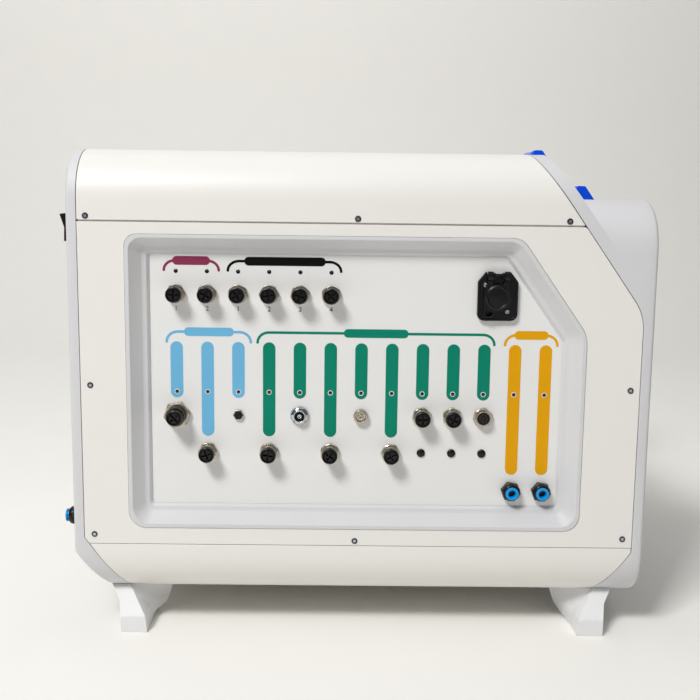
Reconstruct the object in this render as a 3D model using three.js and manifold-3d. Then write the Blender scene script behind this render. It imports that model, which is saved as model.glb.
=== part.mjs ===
// Control station of a bench bioreactor, in millimetres, +Z up.
// X runs from the rear (-) to the front (+), Y from the near side with its
// connector bay (-) to the far side (+), and the feet stand on Z = 0.
//
// The casing is one rounded cross section drawn out along X. Its two ends are
// moulded: a shallow cap at the rear, and at the front a housing with a sloping
// console between two cheeks. Between them lie a top cover, a bottom cover and
// two flat side panels. The near panel has a window with a splayed frame, and
// the sockets, gas ports and charging socket sit on the plate at its back.

import * as THREE from "three";
import { mergeVertices } from "three/addons/utils/BufferGeometryUtils.js";
import Module from "manifold-3d";

const wasm = await Module();
wasm.setup();

// ---------------------------------------------------------------- sizes

// Casing
const BODY_LENGTH = 468.4;
const BODY_WIDTH = 440;
const BODY_HEIGHT = 367.8;
const FOOT_CLEARANCE = 29.2;
const EDGE_RADIUS = 41;
const SHEET = 2.5;
const FIT = 0.3;

// Seams between the covers, the side panels and the moulded ends
const TOP_SEAM_DROP = 57.1;
const BOTTOM_SEAM_RISE = 47.6;
const TOP_GAP = 1.2;
const BOTTOM_GAP = 0.6;
const END_GAP = 0.6;
const LIP = 9;
const SPIGOT = 11;
const MOULDING_WALL = 3;
const END_EDGE = 3;

// Rear cap, chamfered at its foot
const REAR_BAND = 8.4;
const REAR_CORNER_RISE = 42;
const REAR_SEAM_RISE = 52.8;
const REAR_CORNER_RADIUS = 12;
const SEAM_CORNER_RADIUS = 2;
const CHAMFER_ANGLE = 55;

// Front housing, console and cheeks
const FRONT_BAND = 9.1;
const FRONT_SEAM_RISE = 43.7;
const CONSOLE_ANGLE = 54.6;
const CONSOLE_DROP = 123.3;
const SEAM_KNEE_RADIUS = 40;
const CHEEK_DROP = 35.6;
const CHEEK_WIDTH = 62;
const FRONT_CORNER_RADIUS = 14;

// Feet
const FOOT_DEPTH = 50;
const SHIN_DEPTH = 22;
const FOOT_FLARE = 20;
const TOE_HEIGHT = 14;
const TOE_WIDTH = 22;
const TOE_SETBACK = 36.5;
const ANKLE_SETBACK = 25.2;
const ANKLE_WIDTH = 16.6;
const FRONT_FOOT_SHIFT = 7;

// Connector bay: margins from the casing's ends and the seams to the plate,
// and the frame splayed out from the plate's outline
const BAY_DEPTH = 12;
const BAY_REAR_MARGIN = 61.7;
const BAY_FRONT_MARGIN = 70;
const BAY_LOWER_MARGIN = 30.2;
const BAY_UPPER_MARGIN = 26.1;
const BAY_SLOPE_MARGIN = 72;
const BAY_SPLAY = 13.2;
const RIM_WIDTH = 2.8;
const RIM_PROUD = 0.8;
const FRAME_WALL = 4;
const PLATE_THICKNESS = 2.5;
const PLATE_LAP = 3.4;

// Connector grid: columns from the plate's rear edge, rows from its top
const PITCH = 25;
const GRID_INSET = 22.5;
const INPUT_DROP = 31.5;
const SHORT_DROP = 130.4;
const LONG_DROP = 161.4;
const GAS_DROP = 192.4;

// Round sensor sockets and their screw plugs
const SOCKET_FLATS = 14.6;
const SOCKET_FLANGE = 3.4;
const SOCKET_BARREL = 6;
const SOCKET_REACH = 8.6;
const SOCKET_BORE = 4.7;
const SOCKET_TAIL = 12;
const PLUG_RADIUS = 6.4;
const PLUG_HEAD = 5.8;
const PLUG_SLOT = 1.3;
const LARGE_BARREL = 8;
const LARGE_REACH = 12.6;
const LARGE_NUT = 19.4;
const LARGE_CLAMP = 16.6;

// Open multi-pole socket, small jack, coaxial and push-pull sockets
const OPEN_REACH = 7;
const OUTER_PINS = 7;
const PIN_CIRCLE = 2.9;
const PIN_HOLE = 0.5;
const JACK_FLATS = 8;
const JACK_SLEEVE = 3;
const COAX_BODY = 5;
const COAX_FLANGE = 7.7;
const ROUND_BODY = 4;
const ROUND_FLANGE = 6;

// Push-in gas ports
const PORT_FLATS = 14.4;
const PORT_REACH = 8.2;
const PORT_BORE = 3.1;
const RING_RADIUS = 5.3;
const RING_PROUD = 2.8;
const RING_TRAVEL = 1;

// Charging socket
const CHARGER_INSET = 55.4;
const CHARGER_DROP = 30.4;
const CHARGER_WIDTH = 32.4;
const CHARGER_HEIGHT = 39.4;
const CHARGER_FLANGE = 4;
const CHARGER_BORE = 9.5;
const FLAP_THICKNESS = 3;
const HINGE_RADIUS = 2.2;

// Power switch and gas inlet on the rear cap
const SWITCH_WIDTH = 21;
const SWITCH_HEIGHT = 30;
const SWITCH_DROP = 62.5;
const SWITCH_SETBACK = 9;
const ROCKER_PROUD = 6.3;
const ROCKER_VALLEY = THREE.MathUtils.degToRad(10);
const ROCKER_TILT = THREE.MathUtils.degToRad(8);
const ROCKER_PIVOT = 1.5;
const INLET_RISE = 65.3;
const INLET_SETBACK = 20;

// Pump heads on the console
const PUMP_WIDTH = 44;
const PUMP_LENGTH = 36;
const PUMP_DEPTH = 24;
const PUMP_BORE = 14;
const ROTOR_RADIUS = 12.6;
const ROLLER_RADIUS = 3.6;
const PUMP_COVER_LENGTH = 44.5;
const PUMP_COVER_THICKNESS = 9.4;
const PUMP_HEAD_START = 7.5;
const PUMP_EAR_Y = 17.8;
const PUMP_EAR_WIDTH = 3.6;
const PUMP_PIN_RADIUS = 1.2;
const PIN_PLAY = 0.12;
const TUBE_CHANNEL = 5;
const PUMP_CLEARANCE = 16;
const UPPER_PUMP_START = -4.5;
const LOWER_PUMP_START = 42;
const LOWER_PUMP_RISE = 14;

// ---------------------------------------------------------------- derived

const REAR_X = -BODY_LENGTH / 2;
const FRONT_X = BODY_LENGTH / 2;
const NEAR_Y = -BODY_WIDTH / 2;
const PLATE_Y = NEAR_Y + BAY_DEPTH;
const BODY_TOP = FOOT_CLEARANCE + BODY_HEIGHT;
const TOP_SEAM = BODY_TOP - TOP_SEAM_DROP;
const BOTTOM_SEAM = FOOT_CLEARANCE + BOTTOM_SEAM_RISE;
const REAR_CORNER = FOOT_CLEARANCE + REAR_CORNER_RISE;
const REAR_SEAM_CORNER = FOOT_CLEARANCE + REAR_SEAM_RISE;
const FRONT_SEAM_CORNER = FOOT_CLEARANCE + FRONT_SEAM_RISE;
const CONSOLE_KNEE = BODY_TOP - CONSOLE_DROP;
const CHEEK_TOP = BODY_TOP - CHEEK_DROP;
const BAY_REAR = REAR_X + BAY_REAR_MARGIN;
const BAY_FRONT = FRONT_X - BAY_FRONT_MARGIN;
const BAY_BOTTOM = BOTTOM_SEAM + BAY_LOWER_MARGIN;
const BAY_TOP = TOP_SEAM - BAY_UPPER_MARGIN;
const GRID_REAR = BAY_REAR + GRID_INSET;
const INPUT_ROW = BAY_TOP - INPUT_DROP;
const SHORT_ROW = BAY_TOP - SHORT_DROP;
const LONG_ROW = BAY_TOP - LONG_DROP;
const GAS_ROW = BAY_TOP - GAS_DROP;
const CHARGER_X = BAY_FRONT - CHARGER_INSET;
const CHARGER_Z = BAY_TOP - CHARGER_DROP;
const SWITCH_Y = NEAR_Y + SWITCH_SETBACK + SWITCH_WIDTH / 2;
const SWITCH_Z = BODY_TOP - SWITCH_DROP;
const INLET_Z = FOOT_CLEARANCE + INLET_RISE;
const PUMP_Y = NEAR_Y + CHEEK_WIDTH + PUMP_CLEARANCE + PUMP_WIDTH / 2;
const PAST = 30;
const Z_HIGH = BODY_TOP + PAST;
const Z_LOW = FOOT_CLEARANCE - PAST;
const ROUND_STEPS = 12;
const ROLL_STEPS = 8;
const CONSOLE = THREE.MathUtils.degToRad(CONSOLE_ANGLE);
const CONSOLE_RUN = 1 / Math.tan(CONSOLE);
const CHAMFER_RUN = 1 / Math.tan(THREE.MathUtils.degToRad(CHAMFER_ANGLE));

// ---------------------------------------------------------------- solids

/** A closed three.js geometry as a manifold solid, facing outwards. */
function solid(geometry) {
  const bare = new THREE.BufferGeometry();
  bare.setAttribute("position", geometry.getAttribute("position"));
  bare.setIndex(geometry.getIndex());
  const merged = mergeVertices(bare, 1e-4);
  const position = merged.getAttribute("position");
  const index = merged.getIndex().array;
  const corners = [0, 1, 2].map(() => new THREE.Vector3());
  const faces = [];
  let volume = 0;
  for (let i = 0; i < index.length; i += 3) {
    const face = [index[i], index[i + 1], index[i + 2]];
    if (new Set(face).size < 3) continue;
    faces.push(face);
    corners.forEach((corner, k) => corner.fromBufferAttribute(position, face[k]));
    volume += corners[0].dot(corners[1].clone().cross(corners[2]));
  }
  const facing = volume < 0 ? faces.map(([a, b, c]) => [a, c, b]) : faces;
  const triVerts = new Uint32Array(facing.flat());
  const vertProperties = new Float32Array(position.array);
  return new wasm.Manifold(new wasm.Mesh({ numProp: 3, vertProperties, triVerts }));
}

/** A manifold solid as a three.js geometry. */
function geometryOf(body) {
  const mesh = body.getMesh();
  const geometry = new THREE.BufferGeometry();
  geometry.setAttribute("position", new THREE.BufferAttribute(mesh.vertProperties, 3));
  geometry.setIndex(new THREE.BufferAttribute(mesh.triVerts, 1));
  return geometry;
}

/** A solid moved by a matrix. */
function placed(body, matrix) {
  return solid(geometryOf(body).applyMatrix4(matrix));
}

const union = (bodies) => bodies.reduce((all, body) => all.add(body));

/** Outline through corner points, each corner rounded by its own radius. */
function rounded(corners, radii, steps = 6) {
  const points = corners.map(([a, b]) => new THREE.Vector2(a, b));
  const outline = [];
  points.forEach((corner, i) => {
    const radius = Array.isArray(radii) ? radii[i] : radii;
    if (radius <= 0) {
      outline.push(corner);
      return;
    }
    const back = points.at(i - 1).clone().sub(corner).normalize();
    const ahead = points[(i + 1) % points.length].clone().sub(corner).normalize();
    const half = back.angleTo(ahead) / 2;
    const middle = back.clone().add(ahead).normalize();
    const centre = corner.clone().addScaledVector(middle, radius / Math.sin(half));
    const start = corner.clone().addScaledVector(back, radius / Math.tan(half)).sub(centre).angle();
    const end = corner.clone().addScaledVector(ahead, radius / Math.tan(half)).sub(centre).angle();
    const sweep = Math.atan2(Math.sin(end - start), Math.cos(end - start));
    for (let k = 0; k <= steps; k += 1) {
      const angle = start + (sweep * k) / steps;
      outline.push(new THREE.Vector2(Math.cos(angle), Math.sin(angle)).multiplyScalar(radius).add(centre));
    }
  });
  return outline;
}

const rectangle = (a0, a1, b0, b1) => [[a0, b0], [a1, b0], [a1, b1], [a0, b1]];
const plain = (corners) => corners.map(([a, b]) => new THREE.Vector2(a, b));

function extruded(outline, depth) {
  return new THREE.ExtrudeGeometry(new THREE.Shape(outline), { depth, bevelEnabled: false });
}

/** Outline in (y, z), drawn out along X from x0 to x1. */
function prismX(outline, x0, x1) {
  const turn = new THREE.Matrix4().set(0, 0, 1, x0, 1, 0, 0, 0, 0, 1, 0, 0, 0, 0, 0, 1);
  return solid(extruded(outline, x1 - x0).applyMatrix4(turn));
}

/** Outline in (x, z), drawn out along Y from y0 to y1. */
function prismY(outline, y0 = -BODY_WIDTH, y1 = BODY_WIDTH) {
  return solid(extruded(outline, y1 - y0).rotateX(Math.PI / 2).translate(0, y1, 0));
}

/** Outline in (x, y), drawn out along Z from z0 to z1. */
function prismZ(outline, z0, z1) {
  return solid(extruded(outline, z1 - z0).translate(0, 0, z0));
}

function block(x0, x1, y0, y1, z0, z1) {
  const box = new THREE.BoxGeometry(x1 - x0, y1 - y0, z1 - z0);
  return solid(box.translate((x0 + x1) / 2, (y0 + y1) / 2, (z0 + z1) / 2));
}

/** Outlines of equal point count, each at its own y, joined by straight walls. */
function loftY(stations) {
  const count = stations[0][0].length;
  const backwards = THREE.ShapeUtils.area(stations[0][0]) < 0;
  const lines = stations.map(([outline, y]) => [backwards ? [...outline].reverse() : outline, y]);
  const vertices = lines.flatMap(([outline, y]) => outline.flatMap((p) => [p.x, y, p.y]));
  const index = [];
  for (let s = 0; s + 1 < stations.length; s += 1) {
    for (let i = 0; i < count; i += 1) {
      const [a, b] = [s * count + i, s * count + ((i + 1) % count)];
      index.push(a, b, b + count, a, b + count, a + count);
    }
  }
  const last = (stations.length - 1) * count;
  THREE.ShapeUtils.triangulateShape(lines[0][0], []).forEach(([a, b, c]) => index.push(a, c, b));
  THREE.ShapeUtils.triangulateShape(lines.at(-1)[0], [])
    .forEach((face) => index.push(...face.map((corner) => corner + last)));
  const geometry = new THREE.BufferGeometry();
  geometry.setAttribute("position", new THREE.Float32BufferAttribute(vertices, 3));
  geometry.setIndex(index);
  return solid(geometry);
}

/** Profile of [radius, height] pairs turned about the Z axis. */
function turned(profile, steps = ROUND_STEPS) {
  const points = profile.map(([radius, height]) => new THREE.Vector2(radius, height));
  return solid(new THREE.LatheGeometry(points, steps).rotateX(Math.PI / 2));
}

const cylinder = (radius, z0, z1, steps) => turned([[0, z0], [radius, z0], [radius, z1], [0, z1]], steps);

/** A circle's outline about (a, b). */
function circle(a, b, radius, steps = ROUND_STEPS) {
  return Array.from({ length: steps }, (_, i) => {
    const angle = (i * 2 * Math.PI) / steps;
    return new THREE.Vector2(a + radius * Math.cos(angle), b + radius * Math.sin(angle));
  });
}

/** A hexagon's corners, by its width across flats. */
function hexagon(flats, turn = 0) {
  const reach = flats / Math.sqrt(3);
  return Array.from({ length: 6 }, (_, i) => {
    const angle = turn + (i * Math.PI) / 3;
    return new THREE.Vector2(reach * Math.cos(angle), reach * Math.sin(angle));
  });
}

/** A hexagonal collar with its corners turned down at the outer face. */
function hexCollar(flats, z0, z1, turn = 0) {
  const reach = flats / Math.sqrt(3);
  const shoulder = flats / 2;
  const drop = (reach - shoulder) * 0.7;
  const cone = turned([[0, z0], [reach, z0], [reach, z1 - drop], [shoulder, z1], [0, z1]]);
  return prismZ(hexagon(flats, turn), z0, z1).intersect(cone);
}

// ---------------------------------------------------------------- node list

const group = new THREE.Group();
group.name = "bioreactor_station";

const FINISH = {
  white: { color: 0xf1f0ec, roughness: 0.42, metalness: 0 },
  grey: { color: 0xcdced1, roughness: 0.5, metalness: 0 },
  plate: { color: 0xe6e6e3, roughness: 0.45, metalness: 0 },
  nickel: { color: 0xb9b2a4, roughness: 0.3, metalness: 1 },
  chrome: { color: 0xc4c8cc, roughness: 0.15, metalness: 1 },
  black: { color: 0x17181a, roughness: 0.5, metalness: 0 },
  blue: { color: 0x0a45d8, roughness: 0.35, metalness: 0 },
  ring: { color: 0x1497dd, roughness: 0.35, metalness: 0 },
  red: { color: 0xc01d22, roughness: 0.35, metalness: 0 },
};

/** Adds one named piece; place is its position and turn in the station. */
function piece(name, body, finish, place = new THREE.Matrix4()) {
  const mesh = new THREE.Mesh(geometryOf(body), new THREE.MeshStandardMaterial(FINISH[finish]));
  mesh.name = name;
  mesh.applyMatrix4(place);
  group.add(mesh);
}

// ---------------------------------------------------------------- casing

/** The casing's rounded cross section, moved in by inset, along all of X. */
function envelope(inset, top = BODY_TOP) {
  const half = BODY_WIDTH / 2 - inset;
  const corners = rectangle(-half, half, FOOT_CLEARANCE + inset, top - inset);
  return prismX(rounded(corners, EDGE_RADIUS - inset, ROLL_STEPS), -BODY_LENGTH, BODY_LENGTH);
}

/** The casing with the edges of its two end faces rounded. */
function roundedCasing() {
  const half = BODY_WIDTH / 2;
  const side = rounded(rectangle(REAR_X, FRONT_X, Z_LOW, BODY_TOP), [0, 0, END_EDGE, END_EDGE], 3);
  const plan = rounded(rectangle(REAR_X, FRONT_X, -half, half), END_EDGE, 3);
  return envelope(0).intersect(prismY(side)).intersect(prismZ(plan, Z_LOW, Z_HIGH));
}

const ring = (outer, inner) => envelope(outer).subtract(envelope(inner));
const levels = (z0, z1) => block(-BODY_LENGTH, BODY_LENGTH, -BODY_WIDTH, BODY_WIDTH, z0, z1);

/** X on the console's slope at height z, moved in by inset. */
function consoleX(z, inset = 0) {
  return FRONT_X - inset / Math.sin(CONSOLE) - (z - CONSOLE_KNEE) * CONSOLE_RUN;
}

/** Height at which the console's slope meets the front, both moved in. */
function kneeZ(inset) {
  return CONSOLE_KNEE + (inset - inset / Math.sin(CONSOLE)) / CONSOLE_RUN;
}

/** Front line in side view, from top to bottom: slope, upright, chamfer. */
function frontLine(inset, corner) {
  const x = FRONT_X - inset;
  const foot = [x - (corner - Z_LOW) * CHAMFER_RUN, Z_LOW];
  return [[consoleX(Z_HIGH, inset), Z_HIGH], [x, kneeZ(inset)], [x, corner], foot];
}

/** Rear line in side view, from top to bottom: upright, chamfer. */
function rearLine(inset, corner) {
  const x = REAR_X + inset;
  return [[x, Z_HIGH], [x, corner], [x + (corner - Z_LOW) * CHAMFER_RUN, Z_LOW]];
}

/** Side view of the stretch between the two moulded ends, moved in by gap. */
function middleOutline(gap) {
  const rear = rearLine(REAR_BAND + gap, REAR_SEAM_CORNER);
  const front = frontLine(FRONT_BAND + gap, FRONT_SEAM_CORNER);
  const corner = SEAM_CORNER_RADIUS;
  return rounded([...rear, ...front.reverse()], [0, corner, 0, 0, corner, SEAM_KNEE_RADIUS, 0], 8);
}

/** A cover: its skin, and a lip stepped in behind each side panel. */
function cover(skinLevels, stepLevels, lipLevels) {
  const skin = ring(0, SHEET).intersect(prismY(middleOutline(END_GAP))).intersect(levels(...skinLevels));
  const reach = prismY(middleOutline(SPIGOT + 2 * END_GAP));
  const step = ring(SHEET / 2, 2 * SHEET + FIT).intersect(reach).intersect(levels(...stepLevels));
  const lip = ring(SHEET + FIT, 2 * SHEET + FIT).intersect(reach).intersect(levels(...lipLevels));
  return union([skin, step, lip]);
}

function topCover() {
  const edge = TOP_SEAM + TOP_GAP / 2;
  return cover([edge, Z_HIGH], [edge + 1, edge + LIP], [TOP_SEAM - LIP, edge + 2]);
}

function bottomCover() {
  const edge = BOTTOM_SEAM - BOTTOM_GAP / 2;
  return cover([Z_LOW, edge], [edge - LIP / 2, edge - 1], [edge - 2, BOTTOM_SEAM + LIP]);
}

/** Side panel in side view, within the seams. */
function panelOutline() {
  const rear = REAR_X + REAR_BAND + END_GAP;
  const front = FRONT_X - FRONT_BAND - END_GAP;
  const low = BOTTOM_SEAM + BOTTOM_GAP / 2;
  const high = TOP_SEAM - TOP_GAP / 2;
  const inset = FRONT_BAND + END_GAP;
  const corners = [
    [rear + (REAR_SEAM_CORNER - low) * CHAMFER_RUN, low],
    [front, low],
    [front, kneeZ(inset)],
    [consoleX(high, inset), high],
    [rear, high],
    [rear, REAR_SEAM_CORNER],
  ];
  return rounded(corners, [1, 1.5, SEAM_KNEE_RADIUS, 4, 1.5, 1], 6);
}

/** Rear cap: a shallow tray with a spigot that enters the covers. */
function rearCap() {
  const outer = rearLine(0, REAR_CORNER);
  const seam = rearLine(REAR_BAND, REAR_SEAM_CORNER);
  const inner = rearLine(MOULDING_WALL, REAR_CORNER + MOULDING_WALL);
  const past = rearLine(REAR_BAND + SPIGOT, REAR_SEAM_CORNER);
  const neck = rearLine(REAR_BAND - MOULDING_WALL, REAR_SEAM_CORNER - MOULDING_WALL);
  const back = rounded([...outer, ...seam.reverse()], [0, REAR_CORNER_RADIUS, 0, 0, SEAM_CORNER_RADIUS, 0]);
  const shell = roundedCasing().intersect(prismY(back));
  const within = rounded([...inner, ...[...past].reverse()], [0, REAR_CORNER_RADIUS - 2, 0, 0, 0, 0]);
  const hollow = envelope(MOULDING_WALL).intersect(prismY(within));
  const collar = ring(SHEET + FIT, 2 * SHEET + FIT);
  const spigot = collar.intersect(prismY(plain([...neck, ...past.reverse()])));
  return shell.subtract(hollow).add(spigot).subtract(switchCutout()).subtract(inletBore());
}

/** Front housing: sloping console between two cheeks, hollow behind. */
function frontHousing() {
  const low = FOOT_CLEARANCE;
  const seam = frontLine(FRONT_BAND, FRONT_SEAM_CORNER);
  const face = [[consoleX(Z_HIGH), Z_HIGH], [FRONT_X, CONSOLE_KNEE], [FRONT_X, low]];
  const knee = SEAM_KNEE_RADIUS;
  const radii = [0, knee + FRONT_BAND, FRONT_CORNER_RADIUS, 0, SEAM_CORNER_RADIUS, knee, 0];
  const heel = [FRONT_X - FRONT_BAND - (FRONT_SEAM_CORNER - low) * CHAMFER_RUN, low];
  const side = rounded([...face, heel, seam[2], seam[1], seam[0]], radii, 8);
  const shell = roundedCasing().intersect(prismY(side).add(cheeks(0)));
  const wall = MOULDING_WALL;
  const inside = FRONT_X - wall;
  const inner = [[consoleX(Z_HIGH, wall), Z_HIGH], [inside, kneeZ(wall)], [inside, low + wall]];
  const back = frontLine(FRONT_BAND + SPIGOT, FRONT_SEAM_CORNER).reverse();
  const corner = FRONT_CORNER_RADIUS - wall;
  const line = [...inner, [back[0][0], low + wall], ...back.slice(1)];
  const hollowSide = rounded(line, [0, 9, corner, 0, 0, 0, 0], 6);
  const hollow = envelope(wall).intersect(prismY(hollowSide)).add(cheeks(wall));
  const neck = frontLine(FRONT_BAND - wall, FRONT_SEAM_CORNER - wall);
  const collar = ring(SHEET + FIT, 2 * SHEET + FIT);
  const reach = frontLine(FRONT_BAND + SPIGOT, FRONT_SEAM_CORNER).reverse();
  const spigot = collar.intersect(prismY(plain([...neck, ...reach])));
  return shell.subtract(hollow).add(spigot).subtract(consoleCutouts());
}

/** The two cheeks beside the console, moved in by inset on every side. */
function cheeks(inset) {
  const depth = inset > 0 ? 2 * inset : 1;
  const back = frontLine(depth, CONSOLE_KNEE - 2 * FRONT_CORNER_RADIUS);
  const [high, front] = [CHEEK_TOP - inset, FRONT_X - inset];
  const [knee, foot] = back.slice(1, 3);
  const side = [[consoleX(high, depth), high], knee, foot, [front, foot[1]], [front, high]];
  const bar = prismY(rounded(side, [0, 0, 0, 0, 3], 3)).intersect(envelope(inset, CHEEK_TOP));
  const half = BODY_WIDTH / 2 - CHEEK_WIDTH + inset;
  return bar.subtract(block(-BODY_LENGTH, BODY_LENGTH, -half, half, Z_LOW, Z_HIGH));
}

/** The whole casing as one block, grown by FIT, that the feet sit against. */
function casingBlock() {
  const front = [[FRONT_X + FIT, Z_LOW], [FRONT_X + FIT, Z_HIGH]];
  const side = [...rearLine(-FIT, REAR_CORNER), ...front];
  return envelope(-FIT).intersect(prismY(plain(side)));
}

/** One foot: a toe flush with the casing's side, with a raked shin, and a
 *  wedge behind it that flares inwards under the casing. */
function foot(atFront, atFar) {
  const top = FOOT_CLEARANCE + 16;
  const ankle = FOOT_CLEARANCE + 5;
  const waist = (TOE_HEIGHT + ankle) / 2;
  const toe = TOE_SETBACK;
  const back = ANKLE_SETBACK;
  const outer = [[back - 6, top], [back, ankle], [toe - 3, waist], [toe, TOE_HEIGHT], [toe, 0]];
  const heights = [0, TOE_HEIGHT / 2, TOE_HEIGHT, waist, ankle, top];
  const lean = (back + ANKLE_WIDTH - toe - TOE_WIDTH) / (ankle - TOE_HEIGHT);
  const inner = (slack) => heights.map((z) => [toe + TOE_WIDTH + slack(z), z]);
  const shinLine = [...outer, ...inner((z) => (z > TOE_HEIGHT ? lean * (z - TOE_HEIGHT) - 1.5 : -z / 10))];
  const flareLine = [...outer, ...inner((z) => FOOT_FLARE * Math.sqrt(z / top))];
  const depth = FOOT_DEPTH;
  const across = [[0, 0], [depth, 0], [depth - 2, top], [depth / 2, top],
    [SHIN_DEPTH, ankle], [0, TOE_HEIGHT]];
  const endX = atFront ? FRONT_X + FRONT_FOOT_SHIFT : REAR_X;
  const [signX, signY] = [atFront ? -1 : 1, atFar ? -1 : 1];
  const place = (line) => plain(line.map(([x, z]) => [endX + signX * x, z]));
  const level = (depth) => signY * (NEAR_Y + depth);
  const wedge = loftY([
    [place(shinLine), level(-1)],
    [place(shinLine), level(SHIN_DEPTH + 2)],
    [place(flareLine), level(depth)],
  ]);
  const profile = rounded(across.map(([y, z]) => [level(y), z]), [0.6, 2, 0, 0, 3, 0.8], 3);
  return wedge.intersect(prismX(profile, -BODY_LENGTH, BODY_LENGTH)).subtract(casingBlock());
}

// ---------------------------------------------------------------- connector bay

/** The plate's outline, grown by offset, with its sloping upper corner. */
function bayOutline(offset, radii) {
  const slope = BAY_SLOPE_MARGIN - offset;
  const lineX = (z) => consoleX(z, slope);
  const top = BAY_TOP + offset;
  const front = BAY_FRONT + offset;
  const meetZ = CONSOLE_KNEE + (FRONT_X - slope / Math.sin(CONSOLE) - front) / CONSOLE_RUN;
  const corners = [
    [BAY_REAR - offset, BAY_BOTTOM - offset],
    [front, BAY_BOTTOM - offset],
    [front, meetZ],
    [lineX(top), top],
    [BAY_REAR - offset, top],
  ];
  return rounded(corners, radii, 4);
}

const RIM_RADII = [14, 13, 22, 13.5, 10];
const BAY_RADII = [2.5, 2.5, 2.5, 2.5, 2.5];
const WINDOW_GROWTH = BAY_SPLAY + RIM_WIDTH;

function nearPanel() {
  const window = bayOutline(WINDOW_GROWTH + FIT, RIM_RADII);
  const sheet = prismY(panelOutline(), NEAR_Y, NEAR_Y + SHEET);
  return sheet.subtract(prismY(window, NEAR_Y - 5, NEAR_Y + 10));
}

function farPanel() {
  return prismY(panelOutline(), -NEAR_Y - SHEET, -NEAR_Y);
}

/** Splayed frame: a flat rim in the window, and walls down to the plate. */
function bayFrame() {
  const front = NEAR_Y - RIM_PROUD;
  const back = PLATE_Y - FIT;
  const rimBack = NEAR_Y + SHEET + 1;
  const rim = prismY(bayOutline(WINDOW_GROWTH, RIM_RADII), front, rimBack);
  const outerWall = [
    [bayOutline(WINDOW_GROWTH - 1, RIM_RADII), rimBack - 0.5],
    [bayOutline(FRAME_WALL, BAY_RADII), back],
  ];
  const innerWall = [
    [bayOutline(BAY_SPLAY, RIM_RADII), front - 0.01],
    [bayOutline(0, BAY_RADII), back + 0.01],
  ];
  return rim.add(loftY(outerWall)).subtract(loftY(innerWall));
}

/** Where each socket, port and plug stands on the plate: [column, height]. */
const column = (i) => GRID_REAR + PITCH * i;
const SENSOR_PLACES = [
  ...[0, 1, 2, 3, 4, 5].map((i) => [`input_${i + 1}`, column(i), INPUT_ROW]),
  ...[1, 3, 5, 7].map((i) => [`long_${i + 1}`, column(i), LONG_ROW]),
  ...[8, 9].map((i) => [`short_${i + 1}`, column(i), SHORT_ROW]),
];
const GAS_PLACES = [11, 12].map((i) => [column(i), GAS_ROW]);

function connectorPlate() {
  const outline = bayOutline(PLATE_LAP, BAY_RADII.map((radius) => radius + 1));
  const sheet = prismY(outline, PLATE_Y, PLATE_Y + PLATE_THICKNESS);
  const hole = (x, z, radius) => {
    return cylinder(radius + FIT, -5, 5).rotate([90, 0, 0]).translate([x, PLATE_Y, z]);
  };
  const holes = [
    ...SENSOR_PLACES.map(([, x, z]) => hole(x, z, SOCKET_BARREL)),
    ...GAS_PLACES.map(([x, z]) => hole(x, z, SOCKET_BARREL)),
    hole(column(0), SHORT_ROW, LARGE_BARREL),
    hole(column(10), SHORT_ROW, SOCKET_BARREL),
    hole(column(2), SHORT_ROW, JACK_SLEEVE),
    hole(column(4), SHORT_ROW, COAX_BODY),
    hole(column(6), SHORT_ROW, ROUND_BODY),
    hole(CHARGER_X, CHARGER_Z, CHARGER_BORE + 2),
  ];
  return sheet.subtract(union(holes));
}

/** Place on the plate, with the piece's own Z pointing out of the bay. */
function onPlate(x, z) {
  const outwards = new THREE.Matrix4().makeRotationX(Math.PI / 2);
  return new THREE.Matrix4().makeTranslation(x, PLATE_Y, z).multiply(outwards);
}

/** Panel socket: hexagonal flange, threaded barrel and a blind bore. */
function sensorSocket() {
  const flange = hexCollar(SOCKET_FLATS, FIT, FIT + SOCKET_FLANGE);
  const radius = SOCKET_BARREL;
  const barrel = turned([[0, -SOCKET_TAIL], [radius, -SOCKET_TAIL], [radius, SOCKET_REACH - 0.5],
    [radius - 0.5, SOCKET_REACH], [0, SOCKET_REACH]]);
  return flange.add(barrel).subtract(cylinder(SOCKET_BORE, SOCKET_FLANGE, SOCKET_REACH + 1));
}

/** Screw plug: dished head with a cross slot, and a stem in the bore. */
function screwPlug(seat, radius = PLUG_RADIUS, stem = SOCKET_BORE - FIT) {
  const face = seat + PLUG_HEAD;
  const head = turned([[0, SOCKET_FLANGE + FIT], [stem, SOCKET_FLANGE + FIT], [stem, seat],
    [radius, seat], [radius, face - 0.7], [radius - 0.7, face], [radius - 1.4, face],
    [radius - 1.7, face - 0.8], [0, face - 0.8]]);
  const half = PLUG_SLOT / 2;
  const arm = radius - 2.4;
  const slot = block(-arm, arm, -half, half, face - 2.6, face);
  return head.subtract(slot.add(slot.rotate([0, 0, 90])));
}

const PLUG_SEAT = SOCKET_REACH + FIT;

/** Larger socket with a second clamping nut. */
function largeSocket() {
  const corners = turned([[0, 0], [10.6, 0], [10.6, 3.4], [9.8, 4.4], [0, 4.4]]);
  const nut = prismZ(hexagon(LARGE_NUT, 0.2), FIT, 4.4).intersect(corners);
  const body = cylinder(LARGE_BARREL, -SOCKET_TAIL, LARGE_REACH - 5);
  const clamp = hexCollar(LARGE_CLAMP, LARGE_REACH - 5.4, LARGE_REACH, 0.3);
  return union([nut, body, clamp]).subtract(cylinder(SOCKET_BORE, SOCKET_FLANGE, LARGE_REACH + 1));
}

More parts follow.
